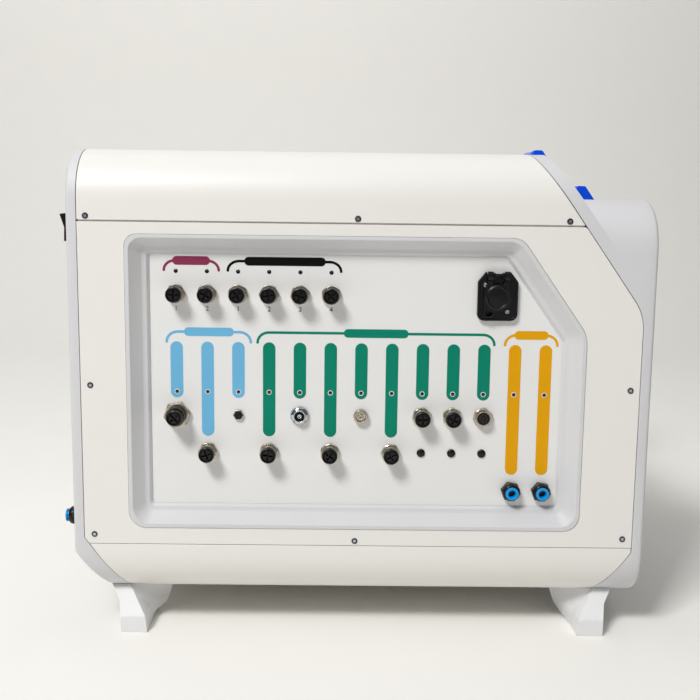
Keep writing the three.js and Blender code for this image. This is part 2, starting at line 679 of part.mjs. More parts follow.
/** Open multi-pole socket: barrel, and an insulator with pin holes. */
function openSocket() {
  const barrel = sensorSocket().intersect(levels(-SOCKET_TAIL - 1, OPEN_REACH));
  const insert = cylinder(SOCKET_BORE + 0.5, 2, OPEN_REACH - 1);
  const pin = cylinder(PIN_HOLE, OPEN_REACH - 3, OPEN_REACH + 1, 6);
  const pins = circle(0, 0, PIN_CIRCLE, OUTER_PINS).map(({ x, y }) => pin.translate([x, y, 0]));
  return barrel.add(insert).subtract(union([pin, ...pins]));
}

/** Small round jack in a hexagonal nut. */
function smallJack() {
  const nut = hexCollar(JACK_FLATS, FIT, 2.2);
  const sleeve = turned([[0, -6], [JACK_SLEEVE, -6], [JACK_SLEEVE, 2.8], [2.4, 2.8], [2.4, 1], [0, 1]]);
  return nut.add(sleeve).subtract(cylinder(1.1, 0.2, 5, 8));
}

/** Coaxial socket: domed flange, collar and a hollow centre contact. */
function coaxSocket() {
  const [body, flange] = [COAX_BODY, COAX_FLANGE];
  return turned([[0, -9], [body, -9], [body, FIT], [flange, FIT], [flange, 2], [flange - 1.3, 3.6],
    [body, 4], [body, 6], [body - 1, 6], [body - 1, 2],
    [1.9, 2], [1.9, 5.2], [1.1, 5.2], [1.1, 1], [0, 1]]);
}

/** Push-pull socket with a centre contact. */
function roundSocket() {
  const [body, flange] = [ROUND_BODY, ROUND_FLANGE];
  return turned([[0, -8], [body, -8], [body, FIT], [flange, FIT], [flange, 4], [flange - 0.8, 5],
    [body + 0.2, 5], [body - 0.1, 2], [1.6, 2], [1.6, 4.2], [0.9, 4.2], [0.9, 1], [0, 1]]);
}

/** Push-in port: hexagonal body and rounded shoulder round a tube bore. */
function gasPort() {
  const hex = hexCollar(PORT_FLATS, FIT, PORT_REACH - 3.4, -0.17);
  const face = PORT_REACH;
  const shoulder = turned([[0, -SOCKET_TAIL], [SOCKET_BARREL, -SOCKET_TAIL], [SOCKET_BARREL, face - 4],
    [6.9, face - 4], [6.9, face - 1.6], [6.2, face - 0.5], [5.6, face], [0, face]]);
  const seat = RING_RADIUS - 0.9 + FIT;
  const bore = cylinder(PORT_BORE, -6, 2).add(cylinder(seat, 1.5, face + 1));
  return hex.add(shoulder).subtract(bore);
}

/** Release ring: a flanged sleeve that is pressed in to free the tube. */
function releaseRing() {
  const sleeve = RING_RADIUS - 0.9;
  const back = 1.8 + RING_TRAVEL;
  const flange = PORT_REACH + RING_TRAVEL + FIT;
  const face = PORT_REACH + RING_PROUD;
  return turned([[PORT_BORE, back], [sleeve, back], [sleeve, flange], [RING_RADIUS, flange],
    [RING_RADIUS, face - 0.5], [RING_RADIUS - 0.6, face], [PORT_BORE + 0.5, face], [PORT_BORE, face - 0.5],
    [PORT_BORE, back]]);
}

// ---------------------------------------------------------------- charging socket

const HINGE_Z = CHARGER_HEIGHT / 2 - HINGE_RADIUS;
const HINGE_OUT = CHARGER_FLANGE + HINGE_RADIUS + FIT;
const ARM_X = 7.3;
const ARM_WIDTH = 4.6;
const LUG_WIDTH = 1.7;
const LUG_RADIUS = 1.7;
const PIN_RADIUS = 1;
const DISC_RADIUS = 10.3;
const DISC_DROP = 1;
const GRIP_X = -7.8;
const GRIP_DROP = 12.8;

/** Flange with cropped upper corners, a round mouth and two hinge lugs. */
function chargerFlange() {
  const w = CHARGER_WIDTH / 2;
  const h = CHARGER_HEIGHT / 2;
  const top = HINGE_Z + 0.2;
  const corners = [[-w, -h], [w, -h], [w, h - 8], [w - 4.8, top], [-w + 4.8, top], [-w, h - 8]];
  const plate = prismZ(rounded(corners, [5.5, 5.5, 2, 1, 1, 2], 4), FIT, CHARGER_FLANGE);
  const sleeve = cylinder(CHARGER_BORE + 2, -10, 2);
  const mouth = cylinder(CHARGER_BORE, -8, 9);
  const half = LUG_WIDTH / 2;
  const foot = block(-half, half, HINGE_Z - LUG_RADIUS, top, CHARGER_FLANGE - 1, HINGE_OUT);
  const lug = foot.add(prismX(circle(HINGE_Z, HINGE_OUT, LUG_RADIUS), -half, half));
  const lugX = ARM_X - ARM_WIDTH / 2 - FIT - half;
  const lugs = [-lugX, lugX].map((x) => lug.translate([x, 0, 0]));
  const pinHole = prismX(circle(HINGE_Z, HINGE_OUT, PIN_RADIUS + PIN_PLAY), -w, w);
  return union([plate, sleeve, ...lugs]).subtract(mouth).subtract(pinHole);
}

/** Hinged flap: a raised disc on two arms, a grip at its corner, and its pin. */
function chargerFlap() {
  const low = CHARGER_FLANGE + FIT;
  const face = low + FLAP_THICKNESS;
  const disk = DISC_RADIUS;
  const disc = turned([[0, low], [disk, low], [disk, face + 0.9], [disk - 0.7, face + 1.4],
    [disk - 1.7, face + 1.4], [disk - 2, face + 1], [0, face + 1]], 18).translate([0, -DISC_DROP, 0]);
  const half = ARM_WIDTH / 2;
  const bar = block(-half, half, 0, HINGE_Z, low, face);
  const arm = bar.add(prismX(circle(HINGE_Z, HINGE_OUT, HINGE_RADIUS), -half, half));
  const arms = [-ARM_X, ARM_X].map((x) => arm.translate([x, 0, 0]));
  const side = -ARM_X - half;
  const [left, foot] = [side - 2.6, -GRIP_DROP - 4];
  const rail = [[-4, foot], [-4, 5], [side, HINGE_Z - 6], [left, 4], [left, foot]];
  const tongue = prismZ(rounded(rail, [3.4, 0, 0, 4, 4.4], 4), low, face);
  const grip = cylinder(2.3, low - 1, low + 9, 14).translate([GRIP_X, -GRIP_DROP, 0]);
  const pinHalf = ARM_X + half;
  const pin = prismX(circle(HINGE_Z, HINGE_OUT, PIN_RADIUS), -pinHalf, pinHalf);
  return union([disc, tongue, ...arms]).subtract(grip).add(pin);
}

// ---------------------------------------------------------------- rear cap fittings

const BEZEL = 1.9;

function switchCutout() {
  const w = SWITCH_WIDTH / 2 - 1.5;
  const h = SWITCH_HEIGHT / 2 - 1.5;
  return block(REAR_X - 9, REAR_X + 9, SWITCH_Y - w, SWITCH_Y + w, SWITCH_Z - h, SWITCH_Z + h);
}

function inletBore() {
  const drill = cylinder(SOCKET_BARREL + FIT, -9, 9);
  return drill.rotate([0, 90, 0]).translate([REAR_X, NEAR_Y + INLET_SETBACK, INLET_Z]);
}

/** Place on the rear face, with the piece's own Z pointing to the rear. */
function onRear(y, z) {
  const rearwards = new THREE.Matrix4().makeRotationY(-Math.PI / 2);
  return new THREE.Matrix4().makeTranslation(REAR_X, y, z).multiply(rearwards);
}

/** Switch frame: a bezel on the cap and a box behind it, open in front. */
function switchFrame() {
  const w = SWITCH_WIDTH / 2;
  const h = SWITCH_HEIGHT / 2;
  const bezel = prismZ(rounded(rectangle(-h, h, -w, w), 2, 3), FIT, BEZEL);
  const box = block(-h + 1.8, h - 1.8, -w + 1.8, w - 1.8, -16, 1);
  const well = block(-h + 3.2, h - 3.2, -w + 3.2, w - 3.2, -10, 5);
  return bezel.add(box).subtract(well);
}

/** Rocker: two faces meeting in a shallow valley, tilted about its pivot. */
function rocker() {
  const half = SWITCH_HEIGHT / 2 - 4;
  const width = SWITCH_WIDTH / 2 - 3.2 - FIT;
  const valley = ROCKER_PROUD - half * Math.tan(ROCKER_VALLEY);
  const corners = [[-half, -4], [half, -4], [half, ROCKER_PROUD], [0, valley], [-half, ROCKER_PROUD]];
  const body = prismY(rounded(corners, [1, 1, 0.8, 0, 0.8], 2), -width, width);
  const tilt = new THREE.Matrix4().makeTranslation(0, 0, ROCKER_PIVOT);
  tilt.multiply(new THREE.Matrix4().makeRotationY(-ROCKER_TILT));
  tilt.multiply(new THREE.Matrix4().makeTranslation(0, 0, -ROCKER_PIVOT));
  return placed(body, tilt);
}

// ---------------------------------------------------------------- console

/** Place on the console: own X down the slope, own Z straight out of it. */
function onConsole(start, y, rise = 0) {
  const x = consoleX(BODY_TOP) + start * Math.cos(CONSOLE) + rise * Math.sin(CONSOLE);
  const z = BODY_TOP - start * Math.sin(CONSOLE) + rise * Math.cos(CONSOLE);
  return new THREE.Matrix4().makeTranslation(x, y, z).multiply(new THREE.Matrix4().makeRotationY(CONSOLE));
}

const PUMPS = [
  ["upper_pump", UPPER_PUMP_START, 0],
  ["lower_pump", LOWER_PUMP_START, LOWER_PUMP_RISE],
];
const PUMP_HINGE_X = 3.8;
const PUMP_HINGE_Z = FIT + PUMP_HINGE_X;

/** Openings in the console for the pump heads. */
function consoleCutouts() {
  const w = PUMP_WIDTH / 2 - 2 + FIT;
  const pumps = PUMPS.map(([, start, rise]) => {
    const from = PUMP_HEAD_START - FIT;
    const hole = block(from, PUMP_HEAD_START + PUMP_LENGTH + FIT, -w, w, -PUMP_DEPTH - rise - 5, 1);
    return placed(hole, onConsole(start, PUMP_Y));
  });
  return union(pumps);
}

/** Pump head: rotor well, two tube channels and the cover's hinge ears. */
function pumpHead() {
  const x0 = PUMP_HEAD_START;
  const x1 = x0 + PUMP_LENGTH;
  const w = PUMP_WIDTH / 2 - 2;
  const head = prismZ(rounded(rectangle(x0, x1, -w, w), 3, 3), FIT - PUMP_DEPTH, 0);
  const centre = x0 + PUMP_LENGTH / 2;
  const well = cylinder(PUMP_BORE, -15, 1, 20).translate([centre, 0, 0]);
  const socket = cylinder(2.3, -19, 1).translate([centre, 0, 0]);
  const channel = block(centre - 3, x1 + 1, PUMP_BORE - TUBE_CHANNEL, PUMP_BORE, -9, 1);
  const arm = [[x0, -3], [x0 + 1.8, -3], [x0 + 1.8, 0.2], [PUMP_HINGE_X + 2.9, PUMP_HINGE_Z - 1],
    [PUMP_HINGE_X, PUMP_HINGE_Z], [PUMP_HINGE_X, 2 * FIT], [x0, 2 * FIT]];
  const half = PUMP_EAR_WIDTH / 2;
  const knuckle = prismY(circle(PUMP_HINGE_X, PUMP_HINGE_Z, PUMP_HINGE_X - 2 * FIT), -half, half);
  const ear = knuckle.add(prismY(plain(arm), -half, half));
  const pinRadius = PUMP_PIN_RADIUS + PIN_PLAY;
  const pinHole = prismY(circle(PUMP_HINGE_X, PUMP_HINGE_Z, pinRadius), -PUMP_WIDTH, PUMP_WIDTH);
  const ears = [-PUMP_EAR_Y, PUMP_EAR_Y].map((y) => ear.translate([0, y, 0]));
  const channels = channel.add(channel.mirror([0, 1, 0]));
  return union([head, ...ears]).subtract(union([well, socket, channels, pinHole]));
}

/** Rotor: hub, two flanges and four rollers between them. */
function pumpRotor() {
  const centre = PUMP_HEAD_START + PUMP_LENGTH / 2;
  const inner = ROTOR_RADIUS - ROLLER_RADIUS;
  const hub = turned([[0, -18], [2, -18], [2, -14.6], [inner, -14.6], [inner, -12.6], [5, -12.6], [5, -3],
    [inner, -3], [inner, -1], [3, -1], [3, -0.6], [0, -0.6]], ROUND_STEPS);
  const roller = cylinder(ROLLER_RADIUS, -13, -2.4, 8);
  const rollers = [0, 1, 2, 3].map((i) => {
    const angle = ((i + 0.5) * Math.PI) / 2;
    return roller.translate([inner * Math.cos(angle), inner * Math.sin(angle), 0]);
  });
  return union([hub, ...rollers]).translate([centre, 0, 0]);
}

/** Blue flip cover: sloped hinge end with a slot for each ear, and its pin. */
function pumpCover() {
  const w = PUMP_WIDTH / 2;
  const face = FIT + PUMP_COVER_THICKNESS;
  const slope = [PUMP_HINGE_X, face];
  const ends = [[PUMP_COVER_LENGTH, FIT], [PUMP_COVER_LENGTH, face]];
  const hinge = PUMP_HINGE_Z + 0.5;
  const under = 3.3;
  const turn = Math.atan2(PUMP_HINGE_X, face - hinge);
  const bend = Math.min(2.5, (0.98 * (hinge - FIT - under)) / Math.tan(turn / 2));
  const side = rounded([[0, FIT], ...ends, slope, [0, hinge]], [under, 1, 3, 2.5, bend], 4);
  const dish = cylinder(PUMP_BORE - 2, FIT - 1, 2, 16);
  const slot = PUMP_EAR_WIDTH / 2 + FIT;
  const notch = block(-1, PUMP_HEAD_START + 1.8 + 2 * FIT, -slot, slot, -1, face + 1);
  const notches = [-PUMP_EAR_Y, PUMP_EAR_Y].map((y) => notch.translate([0, y, 0]));
  const pin = prismY(circle(PUMP_HINGE_X, PUMP_HINGE_Z, PUMP_PIN_RADIUS), -w - 0.2, w + 0.2);
  const hollows = [dish.translate([PUMP_HEAD_START + PUMP_LENGTH / 2, 0, 0]), ...notches];
  return prismY(side, -w, w).subtract(union(hollows)).add(pin);
}

// ---------------------------------------------------------------- assembly

piece("top_cover", topCover(), "white");
piece("bottom_cover", bottomCover(), "white");
piece("near_side_panel", nearPanel(), "white");
piece("far_side_panel", farPanel(), "white");
piece("rear_end_cap", rearCap(), "grey");
piece("front_housing", frontHousing(), "grey");
piece("bay_frame", bayFrame(), "grey");
piece("connector_plate", connectorPlate(), "plate");

for (const [end, atFront] of [["rear", false], ["front", true]]) {
  for (const [side, atFar] of [["near", false], ["far", true]]) {
    piece(`${end}_${side}_foot`, foot(atFront, atFar), "grey");
  }
}

for (const [name, x, z] of SENSOR_PLACES) {
  piece(`socket_${name}`, sensorSocket(), "nickel", onPlate(x, z));
  piece(`plug_${name}`, screwPlug(PLUG_SEAT), "black", onPlate(x, z));
}
piece("socket_large", largeSocket(), "nickel", onPlate(column(0), SHORT_ROW));
piece("plug_large", screwPlug(LARGE_REACH + FIT), "black", onPlate(column(0), SHORT_ROW));
piece("socket_open", openSocket(), "nickel", onPlate(column(10), SHORT_ROW));
piece("small_jack", smallJack(), "nickel", onPlate(column(2), SHORT_ROW));
piece("coax_socket", coaxSocket(), "chrome", onPlate(column(4), SHORT_ROW));
piece("round_socket", roundSocket(), "nickel", onPlate(column(6), SHORT_ROW));

GAS_PLACES.forEach(([x, z], i) => {
  piece(`gas_port_${i + 1}`, gasPort(), "black", onPlate(x, z));
  piece(`release_ring_${i + 1}`, releaseRing(), "ring", onPlate(x, z));
});

piece("charging_socket", chargerFlange(), "black", onPlate(CHARGER_X, CHARGER_Z));
piece("charging_flap", chargerFlap(), "black", onPlate(CHARGER_X, CHARGER_Z));

piece("power_switch_frame", switchFrame(), "black", onRear(SWITCH_Y, SWITCH_Z));
piece("power_rocker", rocker(), "red", onRear(SWITCH_Y, SWITCH_Z));
piece("gas_inlet_port", gasPort(), "black", onRear(NEAR_Y + INLET_SETBACK, INLET_Z));
piece("gas_inlet_ring", releaseRing(), "ring", onRear(NEAR_Y + INLET_SETBACK, INLET_Z));

for (const [name, start, rise] of PUMPS) {
  piece(`${name}_head`, pumpHead(), "black", onConsole(start, PUMP_Y, rise));
  piece(`${name}_rotor`, pumpRotor(), "nickel", onConsole(start, PUMP_Y, rise));
  piece(`${name}_cover`, pumpCover(), "blue", onConsole(start, PUMP_Y, rise));
}

// The origin is on the ground, under the middle of the whole box
const proudRear = PORT_REACH + RING_PROUD;
const proudNear = LARGE_REACH + FIT + PLUG_HEAD - BAY_DEPTH;
group.position.set(proudRear / 2, proudNear / 2, 0);

export default group;
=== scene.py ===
"""Looks of a bench bioreactor's control station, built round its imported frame.

The file is laid out as an add-on and run as a script. Blender works in metres
here; small sizes are written in millimetres, times MM. The station's rear end
points to -X, its connector bay to -Y, and its feet stand on Z = 0.
"""

import math

import bmesh
import bpy
from bpy.props import FloatProperty, FloatVectorProperty, IntProperty, PointerProperty
from bpy.types import Operator, Panel, PropertyGroup
from mathutils import Matrix, Vector


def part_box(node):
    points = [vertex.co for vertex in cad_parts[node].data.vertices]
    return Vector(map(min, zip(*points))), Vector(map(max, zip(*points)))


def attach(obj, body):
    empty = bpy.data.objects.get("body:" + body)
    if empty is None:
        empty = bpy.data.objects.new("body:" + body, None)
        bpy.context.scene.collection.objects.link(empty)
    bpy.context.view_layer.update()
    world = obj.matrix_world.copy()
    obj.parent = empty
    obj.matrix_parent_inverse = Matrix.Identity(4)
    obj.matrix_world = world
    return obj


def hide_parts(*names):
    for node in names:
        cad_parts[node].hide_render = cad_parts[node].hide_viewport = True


bl_info = {
    "name": "Bench Bioreactor Station",
    "version": (1, 0, 0),
    "blender": (4, 5, 0),
    "location": "3D View > Sidebar > Bioreactor",
    "description": "Builds the casing, connector bay, pumps and stage of a bench bioreactor",
    "category": "Add Mesh",
}

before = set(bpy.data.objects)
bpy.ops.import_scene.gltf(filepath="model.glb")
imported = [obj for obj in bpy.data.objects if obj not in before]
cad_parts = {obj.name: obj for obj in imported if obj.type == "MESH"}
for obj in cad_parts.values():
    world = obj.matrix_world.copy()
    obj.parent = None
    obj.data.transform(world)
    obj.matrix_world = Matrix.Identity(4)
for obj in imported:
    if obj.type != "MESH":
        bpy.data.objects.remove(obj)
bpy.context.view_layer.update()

MM = 0.001
STATION = "station"


def low(node):
    """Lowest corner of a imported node."""
    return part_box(node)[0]


def high(node):
    """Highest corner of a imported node."""
    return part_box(node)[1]


def middle(node):
    """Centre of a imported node's box."""
    return (low(node) + high(node)) / 2


# ---------------------------------------------------------------- places

# Outer faces of the casing, and the plate at the back of the bay
REAR = low("rear_end_cap").x
FRONT = high("front_housing").x
NEAR = low("near_side_panel").y
FAR = high("far_side_panel").y
TOP = high("top_cover").z
UNDER = low("bottom_cover").z
PLATE = low("connector_plate").y
MIDDLE_Y = (NEAR + FAR) / 2

# Directions in side view
UP = Vector((0, 0, 1))
DOWN = Vector((0, 0, -1))
FORWARD = Vector((1, 0, 0))
REARWARD = Vector((-1, 0, 0))
CONSOLE = math.radians(54.6)
CHAMFER = math.radians(55)
SLOPE = Vector((math.sin(CONSOLE), 0, math.cos(CONSOLE)))
DOWN_SLOPE = Vector((math.cos(CONSOLE), 0, -math.sin(CONSOLE)))
REAR_CHAMFER = Vector((-math.sin(CHAMFER), 0, -math.cos(CHAMFER)))
FRONT_CHAMFER = Vector((math.sin(CHAMFER), 0, -math.cos(CHAMFER)))

# Casing: edge roll, seams and the corners of its side view
ROLL = 41 * MM
REAR_BAND = 8.4 * MM
FRONT_BAND = 9.1 * MM
TOP_GAP = 1.2 * MM
SEAM_GAP = 0.6 * MM
KNEE = TOP - 123.3 * MM
CHEEK_TOP = TOP - 35.6 * MM
CHEEK_WIDTH = 62 * MM
SEAM_ROUND = 2 * MM
KNEE_ROUND = 40 * MM
CHAMFER_ROUND = 12 * MM
REAR_CORNER = UNDER + 42 * MM
REAR_SEAM_CORNER = UNDER + 52.8 * MM
FRONT_SEAM_CORNER = UNDER + 43.7 * MM

# Fittings stand this far off the plate or cap, in millimetres
SEAT = 0.3

# Connector grid, read from the sockets of the frame
PITCH = (middle("socket_input_2") - middle("socket_input_1")).x
INPUT_ROW = middle("socket_input_1").z
SHORT_ROW = middle("socket_short_9").z
LONG_ROW = middle("socket_long_2").z
GAS_ROW = middle("release_ring_1").z


def column(number):
    """X of one column of the connector grid."""
    return middle("socket_input_1").x + PITCH * number


# ---------------------------------------------------------------- settings


def linear(code):
    """An sRGB hex value as a linear colour."""
    channels = [(code >> shift & 255) / 255 for shift in (16, 8, 0)]
    return tuple(c / 12.92 if c <= 0.04045 else ((c + 0.055) / 1.055) ** 2.4 for c in channels)


def colour(name, description, code):
    """A colour setting with its default."""
    return FloatVectorProperty(
        name=name, description=description, default=linear(code), subtype="COLOR", size=3, min=0, max=1
    )


def length(name, description, millimetres):
    """A length setting with its default."""
    return FloatProperty(
        name=name, description=description, default=millimetres * MM, min=0, unit="LENGTH", precision=4
    )


def power(name, description, watts):
    """A lamp's power setting with its default."""
    return FloatProperty(name=name, description=description, default=watts, min=0, max=400, unit="POWER")


class CasingSettings(PropertyGroup):
    """Sizes and colours of the casing."""

    sheet: length("Sheet", "Thickness of the coated covers and panels", 2.5)
    moulding: length("Moulding", "Wall of the moulded ends", 3)
    sheet_edge: length("Sheet Edge", "Rounding of the cut edges of covers and panels", 0.5)
    end_edge: length("End Edge", "Rounding where an end face meets the sides", 3)
    paint: colour("Paint", "Powder coat on the covers and side panels", 0xEDEBE6)
    plastic: colour("Moulded Grey", "Moulded ends and bay frame", 0xD6D6D8)
    feet: colour("Feet", "Moulded feet", 0xECECED)
    plate: colour("Plate", "Paint on the connector plate", 0xEAEAE9)


class PrintSettings(PropertyGroup):
    """Inks on the connector plate."""

    controls: colour("Controls", "Ink of the stripes for heating and stirring", 0x70B8E0)
    sensors: colour("Sensors", "Ink of the stripes for the sensors", 0x008469)
    gas: colour("Gas", "Ink of the stripes over the gas ports", 0xE6A400)
    level: colour("Level", "Ink round the first pair of inputs", 0x8E3557)
    inputs: colour("Inputs", "Ink round the other inputs", 0x060606)
    thickness: length("Thickness", "How far the ink stands on the plate", 0.12)


class FittingSettings(PropertyGroup):
    """Colours of the fittings."""

    nickel: colour("Nickel", "Plating of the sockets", 0xC6BDAE)
    bronze: colour("Bronze", "Barrel of the large socket", 0x5E554A)
    chrome: colour("Chrome", "Plating of the coaxial socket", 0xC9CDD2)
    black: colour("Black", "Plugs, ports and the charging socket", 0x0C0C0D)
    ring: colour("Ring Blue", "Release rings of the gas ports", 0x009AE6)
    cover: colour("Cover Blue", "Flip covers of the pumps", 0x0054F2)
    red: colour("Red", "Rocker of the power switch", 0xC0141C)
    steps: IntProperty(name="Steps", description="Facets round a turned piece", default=48, min=12, max=96)


class StageSettings(PropertyGroup):
    """Light, floor and camera."""

    floor: colour("Floor", "Floor and backdrop", 0xF9F7F2)
    sky: FloatProperty(name="Sky", description="Strength of the even light", default=0.12, min=0, max=4)
    key: power("Key Light", "Power of the lamp on the left", 78)
    back: power("Back Light", "Power of the lamp over the backdrop", 16)
    top: power("Top Light", "Power of the lamp overhead", 10)
    lens: FloatProperty(name="Lens", description="Focal length", default=50, min=10, max=200, unit="CAMERA")


# ---------------------------------------------------------------- shapes


def block(start, end):
    """A closed block between two corners."""
    bm = bmesh.new()
    bmesh.ops.create_cube(bm, size=1)
    start, end = Vector(start), Vector(end)
    bmesh.ops.scale(bm, vec=end - start, verts=bm.verts)
    bmesh.ops.translate(bm, vec=(start + end) / 2, verts=bm.verts)
    return bm


def casing_block(inset=0.0, top=TOP, steps=18):
    """The casing's cross section with rolled edges, drawn out past both ends."""
    reach = FRONT - REAR
    bm = block((REAR - reach, NEAR + inset, UNDER + inset), (FRONT + reach, FAR - inset, top - inset))
    along = [edge for edge in bm.edges if abs((edge.verts[0].co - edge.verts[1].co).x) > reach]
    bmesh.ops.bevel(
        bm, geom=along, offset=ROLL - inset, segments=steps, profile=0.5, affect="EDGES", material=-1
    )
    return bm


def cut(bm, point, normal, close=False):
    """Cuts away what lies in front of a plane, and closes the cut if asked."""
    parts = bm.verts[:] + bm.edges[:] + bm.faces[:]
    made = bmesh.ops.bisect_plane(
        bm, geom=parts, dist=1e-6, plane_co=point, plane_no=normal, clear_outer=True
    )
    if close:
        rim = [part for part in made["geom_cut"] if isinstance(part, bmesh.types.BMEdge)]
        bmesh.ops.edgeloop_fill(bm, edges=rim)
        bmesh.ops.recalc_face_normals(bm, faces=bm.faces)


def rounded_end(bm, point, normal, radius, steps=4):
    """Cuts an end flat and rounds its rim with a few insets."""
    cut(bm, point - normal * radius, normal, close=True)
    face = max(bm.faces, key=lambda each: each.calc_center_median().dot(normal))
    for step in range(steps):
        start, end = (math.pi / 2 * turn / steps for turn in (step, step + 1))
        bmesh.ops.inset_region(
            bm, faces=[face], thickness=radius * (math.cos(start) - math.cos(end)),
            depth=radius * (math.sin(end) - math.sin(start)), use_even_offset=True,
        )


def corner_planes(corner, first, second, radius, steps=8):
    """The two planes of a corner, and those that round it between them."""
    centre = corner - (first + second) * radius / (1 + first.dot(second))
    turns = [first.slerp(second, step / steps) for step in range(steps + 1)]
    return [(centre + turn * radius, turn) for turn in turns]


def middle_planes(gap):
    """Planes round the stretch between the moulded ends, moved in by a gap."""
    rear = Vector((REAR + REAR_BAND + gap, 0, REAR_SEAM_CORNER))
    inset = FRONT_BAND + gap
    front = Vector((FRONT - inset, 0, FRONT_SEAM_CORNER))
    rise = (inset - inset / math.sin(CONSOLE)) * math.tan(CONSOLE)
    knee = Vector((FRONT - inset, 0, KNEE + rise))
    return [
        *corner_planes(rear, REARWARD, REAR_CHAMFER, SEAM_ROUND, steps=2),
        *corner_planes(front, FORWARD, FRONT_CHAMFER, SEAM_ROUND, steps=2),
        *corner_planes(knee, FORWARD, SLOPE, KNEE_ROUND)[1:],
    ]


def chamfer_planes(gap=0.0):
    """Planes of the rear cap's chamfer, moved out by a gap."""
    rise = gap * math.tan(CHAMFER) - gap / math.cos(CHAMFER)
    corner = Vector((REAR - gap, 0, REAR_CORNER + rise))
    return corner_planes(corner, REARWARD, REAR_CHAMFER, CHAMFER_ROUND, steps=5)[1:]


def joined(*shapes):
    """Several shapes in one bmesh, side by side."""
    whole = bmesh.new()
    scratch = bpy.data.meshes.new("scratch")
    for shape in shapes:
        shape.to_mesh(scratch)
        whole.from_mesh(scratch)
        shape.free()
    bpy.data.meshes.remove(scratch)
    return whole


def combined(shape, other, operation):
    """Two closed shapes united, intersected or subtracted."""
    parts = []
    for bm in (shape, other):
        mesh = bpy.data.meshes.new("scratch")
        bm.to_mesh(mesh)
        bm.free()
        parts.append(bpy.data.objects.new("scratch", mesh))
        bpy.context.scene.collection.objects.link(parts[-1])
    modifier = parts[0].modifiers.new("Combine", "BOOLEAN")
    modifier.operation = operation
    modifier.object = parts[1]
    modifier.solver = "EXACT"
    whole = bmesh.new()
    evaluated = parts[0].evaluated_get(bpy.context.evaluated_depsgraph_get())
    whole.from_mesh(evaluated.to_mesh())
    evaluated.to_mesh_clear()
    for part in parts:
        mesh = part.data
        bpy.data.objects.remove(part)
        bpy.data.meshes.remove(mesh)
    cleaned(whole)
    bmesh.ops.recalc_face_normals(whole, faces=whole.faces)
    return whole


def cleaned(bm, distance=0.01 * MM):
    """Merges points that lie together and drops the faces that collapse."""
    bmesh.ops.remove_doubles(bm, verts=bm.verts, dist=distance)
    bmesh.ops.dissolve_degenerate(bm, dist=distance, edges=bm.edges)
    return bm


def turned(profile, steps=None):
    """A profile of radius and height pairs, in millimetres, turned about Z."""
    steps = steps or bpy.context.scene.bioreactor_fittings.steps
    bm = bmesh.new()
    points = [bm.verts.new((radius * MM, 0, height * MM)) for radius, height in profile]
    edges = [bm.edges.new(pair) for pair in zip(points, points[1:])]
    bmesh.ops.spin(
        bm, geom=points + edges, cent=(0, 0, 0), axis=UP, angle=math.tau, steps=steps, use_merge=True
    )
    bmesh.ops.remove_doubles(bm, verts=bm.verts, dist=1e-6)
    bmesh.ops.recalc_face_normals(bm, faces=bm.faces)
    return bm


def rounded_corners(bm, corners, distance, segments):
    """Rounds corners of a flat outline, each back by a distance."""
    bmesh.ops.bevel(
        bm, geom=corners, offset=distance, segments=segments, profile=0.5, affect="VERTICES", material=-1
    )


def flat_face(corners, radii=0.0, steps=8):
    """A flat face in the XY plane, each corner rounded back by its distance."""
    bm = bmesh.new()
    points = [bm.verts.new((x, y, 0)) for x, y in corners]
    bm.faces.new(points)
    radii = radii if isinstance(radii, (list, tuple)) else [radii] * len(points)
    for distance in sorted(set(radii) - {0}):
        rounded = [point for point, own in zip(points, radii) if own == distance]
        rounded_corners(bm, rounded, distance, steps)
    bmesh.ops.remove_doubles(bm, verts=bm.verts, dist=1e-6)
    return bm


def thickened(bm, start, end):
    """Flat faces in the XY plane, drawn out along Z from start to end."""
    bmesh.ops.translate(bm, vec=(0, 0, start), verts=bm.verts)
    grown = bmesh.ops.extrude_face_region(bm, geom=bm.faces[:])
    moved = [part for part in grown["geom"] if isinstance(part, bmesh.types.BMVert)]
    bmesh.ops.translate(bm, vec=(0, 0, end - start), verts=moved)
    bmesh.ops.recalc_face_normals(bm, faces=bm.faces)
    return bm


def bar(corners, start, end, radii=0.0, steps=8):
    """A flat outline in millimetres, drawn out along Z."""
    outline = [(x * MM, y * MM) for x, y in corners]
    distances = [r * MM for r in radii] if isinstance(radii, (list, tuple)) else radii * MM
    return thickened(flat_face(outline, distances, steps), start * MM, end * MM)


def rectangle(x0, x1, y0, y1):
    """Corners of a rectangle, anticlockwise."""
    return [(x0, y0), (x1, y0), (x1, y1), (x0, y1)]


def hexagon_corners(reach, turn=0.0):
    """Corners of a regular hexagon, each at a distance from its centre."""
    angles = [turn + step * math.pi / 3 for step in range(6)]
    return [(reach * math.cos(angle), reach * math.sin(angle)) for angle in angles]


def hexagon(flats, end, turn=0.0, trim=0.0):
    """A hexagonal nut on its seat, its corners turned down and trimmed, in millimetres."""
    side = flats / 2
    reach = flats / math.sqrt(3)
    radius = reach + 0.1 - trim
    above = end + 0.3
    fall = (radius - side + 0.4) * 0.75
    cone = [(0, SEAT - 1), (radius, SEAT - 1), (radius, above - fall), (side - 0.4, above), (0, above)]
    prism = bar(hexagon_corners(reach, turn), SEAT, end)
    return combined(prism, turned(cone), "INTERSECT")


def placed(bm, place):
    """A shape moved by a matrix."""
    bmesh.ops.transform(bm, matrix=place, verts=bm.verts)
    return bm


def polar(reach, angle):
    """A place off a fitting's axis, its reach in millimetres."""
    return Matrix.Translation(Vector((reach * math.cos(angle), reach * math.sin(angle), 0)) * MM)


# Turns an outline in XY to stand in XZ, facing -Y
STANDING = Matrix.Rotation(math.pi / 2, 4, "X")


def upright(y):
    """Stands a flat outline at a given depth."""
    return Matrix.Translation((0, y, 0)) @ STANDING


